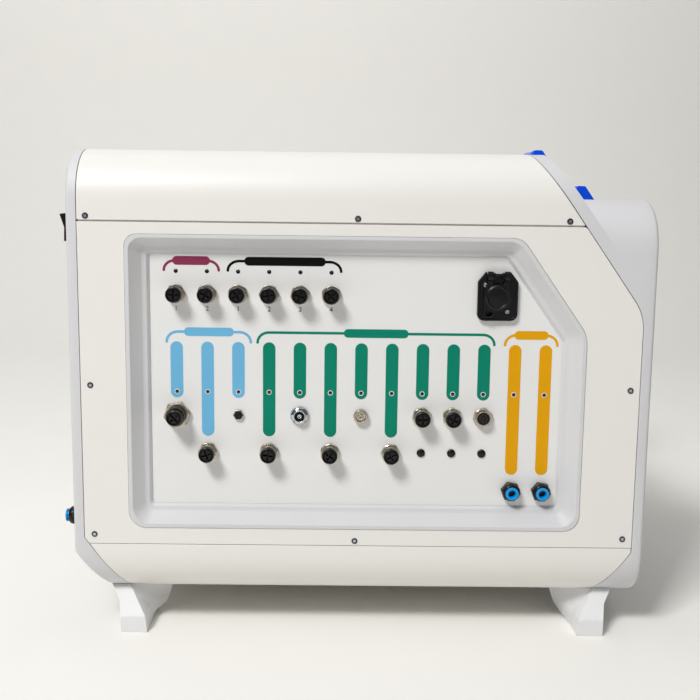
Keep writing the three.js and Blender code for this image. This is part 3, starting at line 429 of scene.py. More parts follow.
def on_plate(x, z):
    """A place on the connector plate, with the piece's own Z pointing out."""
    return Matrix.Translation((x, 0, z)) @ upright(PLATE)


def plate_place(node):
    """The place on the connector plate where a node stands."""
    centre = middle(node)
    return on_plate(centre.x, centre.z)


def rear_place(node):
    """The place of a node on the rear cap, with its own Z pointing to the rear."""
    centre = middle(node)
    return Matrix.Translation((REAR, centre.y, centre.z)) @ Matrix.Rotation(-math.pi / 2, 4, "Y")


def on_console(start, y, rise=0.0):
    """A place on the console, its own X down the slope and its Z out of it."""
    edge = Vector((FRONT - (TOP - KNEE) / math.tan(CONSOLE), y, TOP))
    origin = edge + DOWN_SLOPE * start + SLOPE * rise
    return Matrix.Translation(origin) @ Matrix.Rotation(CONSOLE, 4, "Y")


# Turns an outline in XY to stand in YZ, and its depth to run along X
ALONG_X = Matrix(((0, 0, 1, 0), (1, 0, 0, 0), (0, 1, 0, 0), (0, 0, 0, 1)))


def slotted(bm, index):
    """A shape whose faces all take one material slot."""
    for face in bm.faces:
        face.material_index = index
    return bm


# Edges that turn by more than this are sharp, and are the ones softened
SHARP = math.radians(35)


def finished(
    name, bm, looks, body=STATION, replaces=(), wall=0.0, even=True, edge=0.0, segments=2
):
    """Makes a shape a piece: its wall, softened edges, finishes and body, and hides the nodes it replaces.
    """
    mesh = bpy.data.meshes.new(name)
    for face in bm.faces:
        face.smooth = True
    bm.to_mesh(mesh)
    bm.free()
    mesh.set_sharp_from_angle(angle=SHARP)
    piece = bpy.data.objects.new(name, mesh)
    bpy.context.scene.collection.objects.link(piece)
    for look in looks:
        mesh.materials.append(finishes()[look])
    if wall:
        solidify = piece.modifiers.new("Wall", "SOLIDIFY")
        solidify.thickness = wall
        solidify.offset = -1
        solidify.use_even_offset = even
    if edge:
        bevel = piece.modifiers.new("Edges", "BEVEL")
        bevel.width = edge
        bevel.segments = segments
        bevel.limit_method = "ANGLE"
        bevel.angle_limit = SHARP
        bevel.harden_normals = True
    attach(piece, body)
    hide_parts(*replaces)
    return piece


# ---------------------------------------------------------------- materials


def add(material, kind, inputs=None, **settings):
    """Adds a node with its settings; an input is a value or an output to link."""
    tree = material.node_tree
    node = tree.nodes.new(kind)
    for name, value in settings.items():
        setattr(node, name, value)
    for name, value in (inputs or {}).items():
        if isinstance(value, bpy.types.NodeSocket):
            tree.links.new(value, node.inputs[name])
        else:
            node.inputs[name].default_value = value
    return node


def material(name, **values):
    """A new material and its shader, with constant values on the shader's sockets."""
    made = bpy.data.materials.new(name)
    made.use_nodes = True
    shader = made.node_tree.nodes["Principled BSDF"]
    for socket, value in values.items():
        shader.inputs[socket.replace("_", " ")].default_value = value
    return made, shader


# Size of the broad mottle of a surface, and the part of a noise that is used
BROAD = 60 * MM
SPREAD = {"From Min": 0.3, "From Max": 0.7}


def mottled(made, shader, colour, grain, change, roughness, depth, stretch=(1, 1, 1)):
    """Links a colour, roughness and bump that vary over grains of a real size."""
    tree = made.node_tree
    place = add(made, "ShaderNodeTexCoord").outputs["Object"]
    mapped = add(made, "ShaderNodeMapping", {"Vector": place, "Scale": stretch}).outputs["Vector"]
    fine = add(made, "ShaderNodeTexNoise", {"Vector": mapped, "Scale": 1 / grain, "Detail": 2})
    broad = add(made, "ShaderNodeTexNoise", {"Vector": place, "Scale": 1 / BROAD, "Detail": 3})
    darker = {"Value": broad.outputs["Fac"], **SPREAD, "To Min": 1 - change, "To Max": 1}
    shade = add(made, "ShaderNodeMapRange", darker)
    tint = {0: tuple(colour), "Scale": shade.outputs[0]}
    tinted = add(made, "ShaderNodeVectorMath", tint, operation="SCALE")
    tree.links.new(tinted.outputs[0], shader.inputs["Base Color"])
    duller = {"Value": fine.outputs["Fac"], **SPREAD, "To Min": roughness[0], "To Max": roughness[1]}
    rough = add(made, "ShaderNodeMapRange", duller)
    tree.links.new(rough.outputs[0], shader.inputs["Roughness"])
    bump = add(made, "ShaderNodeBump", {"Height": fine.outputs["Fac"], "Strength": 1, "Distance": depth})
    tree.links.new(bump.outputs["Normal"], shader.inputs["Normal"])
    return made


def powder_coat():
    """Polyester powder coat on steel: an even satin white with faint orange peel."""
    made, shader = material("powder_coated_steel", IOR=1.5)
    paint = bpy.context.scene.bioreactor_casing.paint
    return mottled(made, shader, paint, 1.6 * MM, 0.012, (0.36, 0.46), 0.012 * MM)


def moulding(name, colour):
    """Injection-moulded polymer, spark-eroded: a dull fine grain, drawn coarser to show."""
    made, shader = material(name, IOR=1.5)
    return mottled(made, shader, colour, 0.8 * MM, 0.015, (0.48, 0.58), 0.014 * MM)


def plate_paint():
    """Lacquered aluminium plate: flat, smooth, faintly mottled."""
    made, shader = material("lacquered_aluminium", IOR=1.5)
    plate = bpy.context.scene.bioreactor_casing.plate
    return mottled(made, shader, plate, 2.2 * MM, 0.01, (0.4, 0.48), 0.006 * MM)


def ink(name, colour):
    """Screen-printed ink: a flat colour with a faint mottle and a little sheen."""
    made, shader = material(name, IOR=1.5, Specular_IOR_Level=0.15)
    return mottled(made, shader, colour, 0.7 * MM, 0.05, (0.34, 0.46), 0.004 * MM)


def metal(name, colour, roughness, grain=0.25 * MM):
    """Turned and plated metal: rings across the axis, along Y, drawn coarser to show."""
    made, shader = material(name, Metallic=1.0)
    return mottled(made, shader, colour, grain, 0.1, roughness, 0.004 * MM, stretch=(0.05, 1, 0.05))


def hard_plastic(name, colour, roughness, depth):
    """Moulded polyamide or acetal: an even colour with a soft highlight."""
    made, shader = material(name, IOR=1.49, Specular_IOR_Level=0.35)
    return mottled(made, shader, colour, 0.9 * MM, 0.06, roughness, depth)


def lens():
    """Smoked lens of an indicator lamp that is off: dark and glassy."""
    made, shader = material("smoked_lens", IOR=1.49, Coat_Weight=0.6, Coat_Roughness=0.05)
    return mottled(made, shader, linear(0x120E0D), 0.6 * MM, 0.3, (0.12, 0.22), 0.002 * MM)


FINISHES = {}


def finishes():
    """All finishes of the object, made once."""
    if not FINISHES:
        casing = bpy.context.scene.bioreactor_casing
        fittings = bpy.context.scene.bioreactor_fittings
        inks = bpy.context.scene.bioreactor_print
        FINISHES.update(
            # Coats and mouldings of the casing: pale, even and dull
            paint=powder_coat(),
            plastic=moulding("grey_moulded_polymer", casing.plastic),
            foot=moulding("white_moulded_polymer", casing.feet),
            plate=plate_paint(),
            # Metals: highlights streaked round the axis, sharper on the polished ones
            nickel=metal("nickel_plated_brass", fittings.nickel, (0.2, 0.36)),
            bronze=metal("blackened_brass", fittings.bronze, (0.3, 0.45)),
            chrome=metal("chromed_brass", fittings.chrome, (0.08, 0.18)),
            steel=metal("ground_steel", linear(0xC6CACF), (0.24, 0.38)),
            screw=metal("blackened_screw", linear(0x565C66), (0.3, 0.42)),
            gold=metal("gilded_contact", linear(0xD8B25A), (0.15, 0.3)),
            # Small mouldings: deep even colours with a soft highlight
            black=hard_plastic("black_polyamide", fittings.black, (0.28, 0.38), 0.01 * MM),
            dark=hard_plastic("dark_insert", linear(0x0B0B0C), (0.5, 0.6), 0.006 * MM),
            ring=hard_plastic("blue_acetal", fittings.ring, (0.26, 0.36), 0.004 * MM),
            cover=hard_plastic("blue_polycarbonate", fittings.cover, (0.2, 0.3), 0.004 * MM),
            red=hard_plastic("red_polycarbonate", fittings.red, (0.2, 0.3), 0.004 * MM),
            bezel=hard_plastic("white_bezel", linear(0xE8E8E8), (0.3, 0.42), 0.003 * MM),
            lens=lens(),
            # Inks: flat colours with hardly any gloss
            controls=ink("light_blue_ink", inks.controls),
            sensors=ink("green_ink", inks.sensors),
            gas=ink("amber_ink", inks.gas),
            level=ink("maroon_ink", inks.level),
            inputs=ink("black_ink", inks.inputs),
        )
    return FINISHES


def repaint(node, finish):
    """Gives a carried node one of the finishes."""
    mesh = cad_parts[node].data
    mesh.materials.clear()
    mesh.materials.append(finishes()[finish])


# ---------------------------------------------------------------- casing


class AddCovers(Operator):
    """Add the top and bottom covers, each a bent skin with a lip behind the panels"""

    bl_idname = "bioreactor.add_covers"
    bl_label = "Covers"

    def execute(self, context):
        """Bends both covers from the casing's cross section."""
        sheet = context.scene.bioreactor_casing.sheet
        seam = high("near_side_panel").z + TOP_GAP
        foot = low("near_side_panel").z - SEAM_GAP
        lap = 9 * MM
        behind = sheet - 0.1 * MM
        for name, edge, towards in (("top_cover", seam, DOWN), ("bottom_cover", foot, UP)):
            skin = casing_block()
            cut(skin, UP * edge, towards)
            for point, normal in middle_planes(SEAM_GAP):
                cut(skin, point, normal)
            lip = casing_block(inset=behind)
            cut(lip, UP * edge + towards * lap, towards)
            cut(lip, UP * edge - towards * lap, -towards)
            for point, normal in middle_planes(2 * SEAM_GAP):
                cut(lip, point, normal)
            finished(
                name + "_skin", joined(skin, lip), ["paint"], replaces=[name],
                wall=sheet, edge=context.scene.bioreactor_casing.sheet_edge,
            )
        return {"FINISHED"}


# Connector bay: the frame's laps on the plate, its distance in from the slope, its
# splay and rim, the step in its wall, and the rounding of its corners from low rear
PLATE_LAP = 5 * MM
TOP_LAP = 2.6 * MM
BAY_SLOPE = 73.6 * MM
BAY_SPLAY = 14.4 * MM
RIM = 3.2 * MM
RIM_PROUD = 0.8 * MM
STEP = ((2.2, 2.8), (5.2, 3.4), (6.4, 4.2))
RIM_CORNERS = [r * MM for r in (14, 13, 7, 7, 10)]
BAY_CORNERS = [r * MM for r in (2.5, 2.5, 0.8, 1.3, 2.5)]


def bay_corners(growth):
    """Corners of the bay's outline, grown outwards, anticlockwise from low rear."""
    foot = low("connector_plate") + Vector((PLATE_LAP, 0, PLATE_LAP))
    top = high("connector_plate") - Vector((PLATE_LAP, 0, TOP_LAP))
    inset = BAY_SLOPE - growth
    knee = Vector((FRONT, 0, KNEE)) - SLOPE * inset
    run = 1 / math.tan(CONSOLE)
    front = top.x + growth
    height = top.z + growth * (1 - (PLATE_LAP - TOP_LAP) / (BAY_SPLAY + RIM))
    return [
        (foot.x - growth, foot.z - growth),
        (front, foot.z - growth),
        (front, knee.z + (knee.x - front) / run),
        (knee.x - (height - knee.z) * run, height),
        (foot.x - growth, height),
    ]


class AddPanels(Operator):
    """Add the two side panels, the near one with the window of the bay"""

    bl_idname = "bioreactor.add_panels"
    bl_label = "Side Panels"

    def execute(self, context):
        """Cuts both panels from one outline."""
        casing = context.scene.bioreactor_casing
        bottom, top = low("near_side_panel").z, high("near_side_panel").z
        for name, y in (("near_side_panel", NEAR), ("far_side_panel", FAR - casing.sheet)):
            sheet = flat_face(rectangle(2 * REAR, 2 * FRONT, bottom, top))
            stood = placed(sheet, STANDING)
            for point, normal in middle_planes(SEAM_GAP):
                cut(stood, point, normal)
            bmesh.ops.dissolve_limit(stood, angle_limit=1e-4, verts=stood.verts, edges=stood.edges)
            # The corner where the top edge meets the slope
            corner = max(stood.verts, key=lambda vert: vert.co.dot(FORWARD + UP * 4))
            rounded_corners(stood, [corner], SEAM_ROUND, 6)
            if name == "near_side_panel":
                window = flat_face(bay_corners(BAY_SPLAY + RIM + SEAT * MM), RIM_CORNERS)
                stood = joined(stood, placed(window, STANDING))
                bmesh.ops.delete(stood, geom=stood.faces[:], context="FACES_ONLY")
                bmesh.ops.triangle_fill(stood, edges=stood.edges[:], use_beauty=True)
            flat = placed(stood, Matrix.Rotation(-math.pi / 2, 4, "X"))
            sheet = placed(thickened(flat, -casing.sheet, 0), upright(y))
            finished(
                name + "_sheet", sheet, ["paint"], replaces=[name],
                edge=casing.sheet_edge,
            )
        return {"FINISHED"}


def open_behind(bm, planes):
    """Splits a closed shape along the seam and removes what lies inside it."""
    for point, normal in planes:
        parts = bm.verts[:] + bm.edges[:] + bm.faces[:]
        bmesh.ops.bisect_plane(bm, geom=parts, dist=1e-6, plane_co=point, plane_no=normal)
    inside = []
    for face in bm.faces:
        centre = face.calc_center_median()
        if all((centre - point).dot(normal) < 0 for point, normal in planes):
            inside.append(face)
    bmesh.ops.delete(bm, geom=inside, context="FACES")
    return cleaned(bm)


class AddEnds(Operator):
    """Add the rear cap and the front housing with its sloping console"""

    bl_idname = "bioreactor.add_ends"
    bl_label = "Moulded Ends"

    def rear_cap(self, context):
        """A shallow tray, chamfered at its foot."""
        casing = context.scene.bioreactor_casing
        cap = casing_block()
        rounded_end(cap, FORWARD * REAR, REARWARD, casing.end_edge)
        for point, normal in chamfer_planes():
            cut(cap, point, normal, close=True)
        first, last = low("power_switch_frame"), high("power_switch_frame")
        lap = Vector((0, 1.5 * MM, 1.5 * MM))
        reach = 50 * MM
        hole = block(
            Vector((REAR - reach, first.y, first.z)) + lap,
            Vector((REAR + reach, last.y, last.z)) - lap,
        )
        cap = combined(cap, hole, "DIFFERENCE")
        radius, depth = 6.3, 9
        drill = turned([(0, -depth), (radius, -depth), (radius, depth), (0, depth)])
        cap = combined(cap, placed(drill, rear_place("gas_inlet_ring")), "DIFFERENCE")
        open_behind(cap, middle_planes(0))
        beyond = REAR + 60 * MM
        cut(cap, FORWARD * beyond, FORWARD)
        finished(
            "rear_cap_moulding", cap, ["plastic"], replaces=["rear_end_cap"],
            wall=casing.moulding, even=False, edge=0.3 * MM,
        )

    def console_body(self, casing):
        """The housing as a closed shape: two cheeks, and the slope between."""
        back = FORWARD * (FRONT - 140 * MM)
        toe = 14 * MM
        cheeks = casing_block(top=CHEEK_TOP)
        rounded_end(cheeks, FORWARD * FRONT, FORWARD, casing.end_edge)
        foot = Vector((FRONT, 0, UNDER))
        for point, normal in corner_planes(foot, FORWARD, DOWN, toe)[1:-1]:
            cut(cheeks, point, normal, close=True)
        cut(cheeks, back, REARWARD, close=True)
        knee = 15.7 * MM
        beyond = FRONT + 40 * MM
        below, above = KNEE - knee - 0.5 * MM, TOP + 40 * MM
        # The space starts just clear of the front face: a cut in its plane leaves slivers
        clear = 0.02 * MM
        run = 1 / math.tan(CONSOLE)
        corners = [
            (FRONT + clear, KNEE - clear / run),
            (FRONT + clear, below),
            (beyond, below),
            (beyond, above),
            (FRONT - (above - KNEE) * run, above),
        ]
        half = (FAR - NEAR) / 2 - CHEEK_WIDTH
        space = thickened(flat_face(corners, [knee, 0, 0, 0, 0], steps=12), -half, half)
        body = combined(cheeks, placed(space, upright(MIDDLE_Y)), "DIFFERENCE")
        slope = casing_block()
        cut(slope, Vector((FRONT, 0, KNEE)), SLOPE, close=True)
        lowest = CHEEK_TOP - ROLL - 20 * MM
        cut(slope, UP * lowest, DOWN, close=True)
        cut(slope, back, REARWARD, close=True)
        return combined(body, slope, "UNION")

    def front_housing(self, context):
        """Opens the closed housing behind and for the pumps."""
        casing = context.scene.bioreactor_casing
        body = self.console_body(casing)
        first, last, half = 7.2 * MM, 43.8 * MM, 20.3 * MM
        deep, proud = -45 * MM, 5 * MM
        for name, start, _ in PUMPS:
            hole = block((first, -half, deep), (last, half, proud))
            place = on_console(start * MM, middle(name + "_head").y)
            body = combined(body, placed(hole, place), "DIFFERENCE")
        open_behind(body, middle_planes(0))
        finished(
            "front_housing_moulding", body, ["plastic"],
            replaces=["front_housing"], wall=casing.moulding, even=False, edge=0.8 * MM, segments=3,
        )

    def execute(self, context):
        """Builds both ends."""
        self.rear_cap(context)
        self.front_housing(context)
        return {"FINISHED"}


# Feet, in millimetres: toe, ankle, top, and how deep they reach under the casing
TOE_SETBACK, TOE_WIDTH, TOE_HEIGHT = 36.5, 22, 14
ANKLE_SETBACK, ANKLE_WIDTH, ANKLE_HEIGHT = 25.2, 16.6, 34.2
FOOT_TOP = 45.2
FOOT_DEPTH, SHIN_DEPTH, HEEL_FLARE = 50, 22, 20
FOOT_CORNERS = [0.6, 2, 0, 0, 1, 0.8]
FRONT_SHIFT = 7 * MM
FOOT_GAP = 0.3 * MM


class AddFeet(Operator):
    """Add the four feet, each with a raked shin and a flared heel"""

    bl_idname = "bioreactor.add_feet"
    bl_label = "Feet"

    def execute(self, context):
        """Builds the feet one by one."""
        for end in ("rear", "front"):
            for side in ("near", "far"):
                foot = self.outline(end, side)
                foot = combined(foot, self.side_view(side), "INTERSECT")
                against = casing_block(inset=-FOOT_GAP)
                if end == "rear":
                    for point, normal in chamfer_planes(FOOT_GAP):
                        cut(against, point, normal, close=True)
                finished(
                    f"{end}_{side}_foot_moulding", combined(foot, against, "DIFFERENCE"), ["foot"],
                    replaces=[f"{end}_{side}_foot"], edge=0.7 * MM, segments=3,
                )
        return {"FINISHED"}

    def outline(self, end, side):
        """Lofts a foot inwards from its toe, as its inner edge turns from shin to heel."""
        waist = (TOE_HEIGHT + ANKLE_HEIGHT) / 2
        heights = [FOOT_TOP, ANKLE_HEIGHT, waist, TOE_HEIGHT, TOE_HEIGHT / 2, 0]
        rises = [0, TOE_HEIGHT, waist, ANKLE_HEIGHT, FOOT_TOP]
        outer = [TOE_SETBACK, TOE_SETBACK, TOE_SETBACK - 3, ANKLE_SETBACK, ANKLE_SETBACK - 6]
        toe = TOE_SETBACK + TOE_WIDTH
        lean = (ANKLE_SETBACK + ANKLE_WIDTH - toe) / (ANKLE_HEIGHT - TOE_HEIGHT)
        hollow = 1.5
        shin = [toe + (lean * (z - TOE_HEIGHT) - hollow if z > TOE_HEIGHT else -z / 10) for z in heights]
        heel = [toe + HEEL_FLARE * math.sqrt(z / FOOT_TOP) for z in heights]
        sign = 1 if end == "rear" else -1
        origin = REAR if end == "rear" else FRONT + FRONT_SHIFT
        inwards = 1 if side == "near" else -1
        whole = bmesh.new()
        loops = []
        for depth, inner in ((-1, shin), (SHIN_DEPTH + 1, shin), (FOOT_DEPTH, heel)):
            line = [*zip(outer, rises), *zip(inner, heights)]
            y = (NEAR if side == "near" else FAR) + inwards * depth * MM
            points = [whole.verts.new((origin + sign * x * MM, y, z * MM)) for x, z in line]
            loops.append([whole.edges.new(pair) for pair in zip(points, points[1:] + points[:1])])
        for first, second in zip(loops, loops[1:]):
            bmesh.ops.bridge_loops(whole, edges=first + second)
        for rim in (loops[0], loops[-1]):
            bmesh.ops.edgeloop_fill(whole, edges=rim)
        bmesh.ops.recalc_face_normals(whole, faces=whole.faces)
        return whole

    def side_view(self, side):
        """The foot's outline as seen from the station's end, drawn out along X."""
        across = [(0, 0), (FOOT_DEPTH, 0), (FOOT_DEPTH - 2, FOOT_TOP), (FOOT_DEPTH / 2, FOOT_TOP)]
        across += [(SHIN_DEPTH, ANKLE_HEIGHT), (0, TOE_HEIGHT)]
        reach = 600
        view = bar(across, -reach, reach, FOOT_CORNERS, steps=4)
        flip = Matrix.Translation((0, NEAR, 0))
        if side == "far":
            flip = Matrix.Translation((0, FAR, 0)) @ Matrix.Scale(-1, 4, (0, 1, 0))
        placed(view, flip @ ALONG_X)
        bmesh.ops.recalc_face_normals(view, faces=view.faces)
        return view


# ---------------------------------------------------------------- bay


class AddBay(Operator):
    """Add the splayed frame of the connector bay and finish its plate"""

    bl_idname = "bioreactor.add_bay"
    bl_label = "Connector Bay"

    def execute(self, context):
        """Bridges the loops of the frame's section."""
        rim = BAY_SPLAY + RIM
        seat = PLATE - SEAT * MM
        back = NEAR + 3.5 * MM
        hollow = []
        for growth, rise in STEP:
            share = growth * MM / BAY_SPLAY
            corners = [inner + (outer - inner) * share for inner, outer in zip(BAY_CORNERS, RIM_CORNERS)]
            hollow.append((growth * MM, corners, PLATE - rise * MM))
        section = [
            (0, BAY_CORNERS, seat),
            *hollow,
            (BAY_SPLAY, RIM_CORNERS, NEAR - RIM_PROUD),
            (rim, RIM_CORNERS, NEAR - RIM_PROUD),
            (rim, RIM_CORNERS, back),
            (4 * MM, BAY_CORNERS, seat),
        ]
        loops = []
        for growth, corners, y in section:
            loop = placed(flat_face(bay_corners(growth), corners), upright(y))
            bmesh.ops.delete(loop, geom=loop.faces[:], context="FACES_ONLY")
            loops.append(loop)
        counts = [len(loop.edges) for loop in loops]
        whole = joined(*loops)
        whole.edges.ensure_lookup_table()
        edges = []
        start = 0
        for count in counts:
            edges.append(whole.edges[start : start + count])
            start += count
        for first, second in zip(edges, edges[1:] + edges[:1]):
            bmesh.ops.bridge_loops(whole, edges=first + second)
        bmesh.ops.recalc_face_normals(whole, faces=whole.faces)
        finished(
            "bay_frame_moulding", whole, ["plastic"], replaces=["bay_frame"],
            edge=0.5 * MM, segments=3,
        )
        repaint("connector_plate", "plate")
        return {"FINISHED"}


# Ink, columns and lowest point of the stripes that share them
STRIPES = [
    ("controls", (0, 2), SHORT_ROW + 13.9 * MM),
    ("controls", (1,), LONG_ROW + 13.1 * MM),
    ("sensors", (4, 6, 8, 9, 10), SHORT_ROW + 13.9 * MM),
    ("sensors", (3, 5, 7), LONG_ROW + 13.1 * MM),
    ("gas", (11, 12), GAS_ROW + 13.6 * MM),
]
STRIPE_TOP = SHORT_ROW + 60.1 * MM
STRIPE_HALF = 5.1

# Ink, first and last leg in columns, their foot and line in millimetres, and the
# ends of the title bar in columns
BRACKETS = [
    ("controls", -0.32, 2.404, 242.3, 251.5, (0.244, 1.856)),
    ("sensors", 2.624, 10.312, 242.3, 251.5, (5.416, 7.52)),
    ("gas", 10.66, 12.364, 242.3, 251.5, (10.96, 12.064)),
    ("level", -0.38, 1.38, 300.3, 308.9, (-0.108, 1.1)),
    ("inputs", 1.672, 5.308, 300.3, 308.9, (2.2, 4.81)),
]
LINE_HALF = 1.05
TITLE_HALF = 3.5

# Ink, first column and count of the printed numbers, their size and drop in millimetres
NUMBERS = [("level", 0, 2), ("inputs", 2, 4)]
NUMBER_SIZE = 5.6
NUMBER_DROP = 12

# Ink starts below the plate's face by this much, in millimetres
SUNK = -0.05


class AddPrint(Operator):
    """Add the stripes, brackets and numbers printed on the connector plate"""

    bl_idname = "bioreactor.add_print"
    bl_label = "Print"

    def execute(self, context):
        """Lays each ink as thin flat shapes."""
        thickness = context.scene.bioreactor_print.thickness / MM
        shapes = {}
        base = Matrix.Translation((column(0), 0, 0)) @ upright(PLATE)
        for ink_name, columns, foot in STRIPES:
            for number in columns:
                x = number * PITCH / MM
                edges = rectangle(x - STRIPE_HALF, x + STRIPE_HALF, foot / MM, STRIPE_TOP / MM)
                stripe = bar(edges, SUNK, thickness, STRIPE_HALF - 0.01)
                shapes.setdefault(ink_name, []).append(stripe)
        for ink_name, *bracket in BRACKETS:
            shapes.setdefault(ink_name, []).extend(self.bracket(thickness, *bracket))
        for ink_name, first, count in NUMBERS:
            for number in range(count):
                digit = self.digit(str(number + 1), NUMBER_SIZE * MM, thickness * MM)
                x = (first + number) * PITCH
                placed(digit, Matrix.Translation((x, INPUT_ROW - NUMBER_DROP * MM, 0)))
                shapes[ink_name].append(digit)
        for ink_name, parts in shapes.items():
            finished(
                ink_name + "_print", placed(joined(*parts), base), [ink_name]
            )
        return {"FINISHED"}

    def bracket(self, thickness, start, end, foot, line, title):
        """A line with rounded ends turned down to its feet, and its title bar."""
        x0, x1 = start * PITCH / MM, end * PITCH / MM
        half = LINE_HALF
        hook = [
            (x0 - half, foot),
            (x0 + half, foot),
            (x0 + half, line - half),
            (x1 - half, line - half),
            (x1 - half, foot),
            (x1 + half, foot),
            (x1 + half, line + half),
            (x0 - half, line + half),
        ]
        tip, inner, outer = 0.9, 8.1, 10.2
        hooked = bar(hook, SUNK, thickness, [tip, tip, inner, inner, tip, tip, outer, outer])
        x0, x1 = (edge * PITCH / MM for edge in title)
        edges = rectangle(x0, x1, line - TITLE_HALF, line + TITLE_HALF)
        return hooked, bar(edges, SUNK, thickness + 0.02, TITLE_HALF - 0.01)

    def digit(self, text, size, thickness):
        """A plain number, lying flat and centred, as a mesh."""
        curve = bpy.data.curves.new("digit", "FONT")
        curve.body = text
        curve.size = size
        curve.align_x = "CENTER"
        curve.align_y = "CENTER"
        curve.extrude = thickness
        writing = bpy.data.objects.new("digit", curve)
        bpy.context.scene.collection.objects.link(writing)
        evaluated = writing.evaluated_get(bpy.context.evaluated_depsgraph_get())
        bm = bmesh.new()
        bm.from_mesh(evaluated.to_mesh())
        evaluated.to_mesh_clear()
        bpy.data.objects.remove(writing)
        bpy.data.curves.remove(curve)
        bmesh.ops.remove_doubles(bm, verts=bm.verts, dist=1e-6)
        return bm


# Lamps stand this far above their sockets, one over each column of the two rows
LAMP_RISE = 18.9 * MM
INPUT_LAMP_RISE = 18.2 * MM
COLUMNS = 13
INPUTS = 6
CAP_COLUMNS = (8, 9, 10)
CAP_RISE = 0.4 * MM


class AddLamps(Operator):
    """Add the indicator lamps and the small blanking plugs of the plate"""

    bl_idname = "bioreactor.add_lamps"
    bl_label = "Indicator Lamps"

    def execute(self, context):
        """Sets a lens in a bezel at each place of the two rows."""
        bezel = [(0, -1), (2.15, -1), (2.15, 0.25), (2, 0.4), (1.65, 0.4), (1.55, 0.3), (1.55, 0), (0, 0)]
        glass = [(0, 0.1), (1.5, 0.1), (1.45, 0.3), (1.1, 0.5), (0.6, 0.6), (0, 0.62)]
        eye = [(0, -1), (1.75, -1), (1.75, 0.12), (1.6, 0.2), (1.2, 0.1), (0, 0.1)]
        lamps = []
        for number in range(COLUMNS):
            lamp = joined(slotted(turned(bezel, steps=24), 0), slotted(turned(glass, steps=24), 1))
            lamps.append(placed(lamp, on_plate(column(number), SHORT_ROW + LAMP_RISE)))
        for number in range(INPUTS):
            lamp = slotted(turned(eye, steps=24), 1)
            lamps.append(placed(lamp, on_plate(column(number), INPUT_ROW + INPUT_LAMP_RISE)))
        finished("indicator_lamps", joined(*lamps), ["bezel", "lens"])
        cap = [(0, 0), (3.45, 0), (3.45, 0.9), (2.8, 1.5), (1.6, 1.8), (0, 1.9)]
        places = [on_plate(column(number), LONG_ROW + CAP_RISE) for number in CAP_COLUMNS]
        caps = [placed(turned(cap, steps=24), place) for place in places]
        finished("blanking_caps", joined(*caps), ["black"], edge=PLASTIC_EDGE)
        return {"FINISHED"}


# ---------------------------------------------------------------- sockets

# Nuts of the round sensor sockets, and the heads of their screw plugs, in millimetres
NUT_FLATS, NUT_TOP, NUT_TRIM = 14.8, 3.7, 0.6
PLUG_RADIUS = 6.4

# Finishes of the sockets, in the order of their material slots
SOCKET_LOOKS = ["nickel", "dark", "gold", "bronze", "chrome"]
NICKEL, DARK, GOLD, BRONZE, CHROME = range(5)

# Softened edges of the small turned fittings
METAL_EDGE = 0.12 * MM
PLASTIC_EDGE = 0.15 * MM


def threaded(radius, start, end, pitch=1.0, depth=0.42):
    """Profile points of a threaded barrel, drawn as rings."""
    turns = int((end - start) / pitch)
    points = [(radius, start)]
    for turn in range(turns):
        z = start + turn * pitch
        points += [(radius - depth, z + pitch * 0.45), (radius, z + pitch * 0.9)]
    return points + [(radius, end)]


def contacts(radius, start, end, places):
    """Gilded pins in a socket, at radius and angle pairs."""
    pins = []
    for reach, angle in places:
        side = [(radius, start), (radius, end - radius), (radius * 0.5, end)]
        pin = turned([(0, start), *side, (0, end)], steps=12)
        pins.append(placed(pin, polar(reach, angle)))
    return pins


def sensor_socket():
    """Round sensor socket: hexagonal flange, threaded barrel, insert and pins."""
    nut = hexagon(NUT_FLATS, NUT_TOP, trim=NUT_TRIM)
    outside = [(0, -12), (6, -12), (6, -1), *threaded(6, 3.2, 8.2), (5.6, 8.6)]
    bore = [(4.9, 8.6), (4.7, 8.4), (4.7, 4.6), (0, 4.6)]
    barrel = turned([*outside, *bore])
    insert = turned([(0, 4.4), (4.5, 4.4), (4.5, 5.2), (4.2, 5.4), (0, 5.4)])
    around = [(0, 0), *((2.6, math.pi / 4 + k * math.pi / 2) for k in range(4))]
    pins = [slotted(pin, GOLD) for pin in contacts(0.5, 5.3, 8.2, around)]
    return joined(slotted(nut, NICKEL), slotted(barrel, NICKEL), slotted(insert, DARK), *pins)


def screw_plug(seat):
    """Screw plug: a rimmed head with a cross slot, and its stem."""
    radius = PLUG_RADIUS
    face = seat + 5.8
    head = turned(
        [
            (0, seat - 3.2),
            *threaded(4.3, seat - 3.2, seat),
            (radius - 0.5, seat),
            (radius, seat + 0.5),
            (radius, face - 0.9),
            (radius - 0.25, face - 0.3),
            (radius - 0.8, face),
            (radius - 1.1, face - 0.1),
            (radius - 1.3, face - 1.5),
            (radius - 1.7, face - 1.5),
            (radius - 2, face - 0.9),
            (0, face - 0.8),
        ]
    )
    arm, half = radius - 2.4, 0.65
    floor, above = Vector((0, 0, face - 3.6)), Vector((0, 0, face))
    for reach in (Vector((arm, half, 1)), Vector((half, arm, 1))):
        slot = block((floor - reach) * MM, (above + reach) * MM)
        head = combined(head, slot, "DIFFERENCE")
    return head


SENSOR_NAMES = [
    *(f"input_{number}" for number in range(1, 7)),
    *(f"long_{number}" for number in (2, 4, 6, 8)),
    *(f"short_{number}" for number in (9, 10)),
]


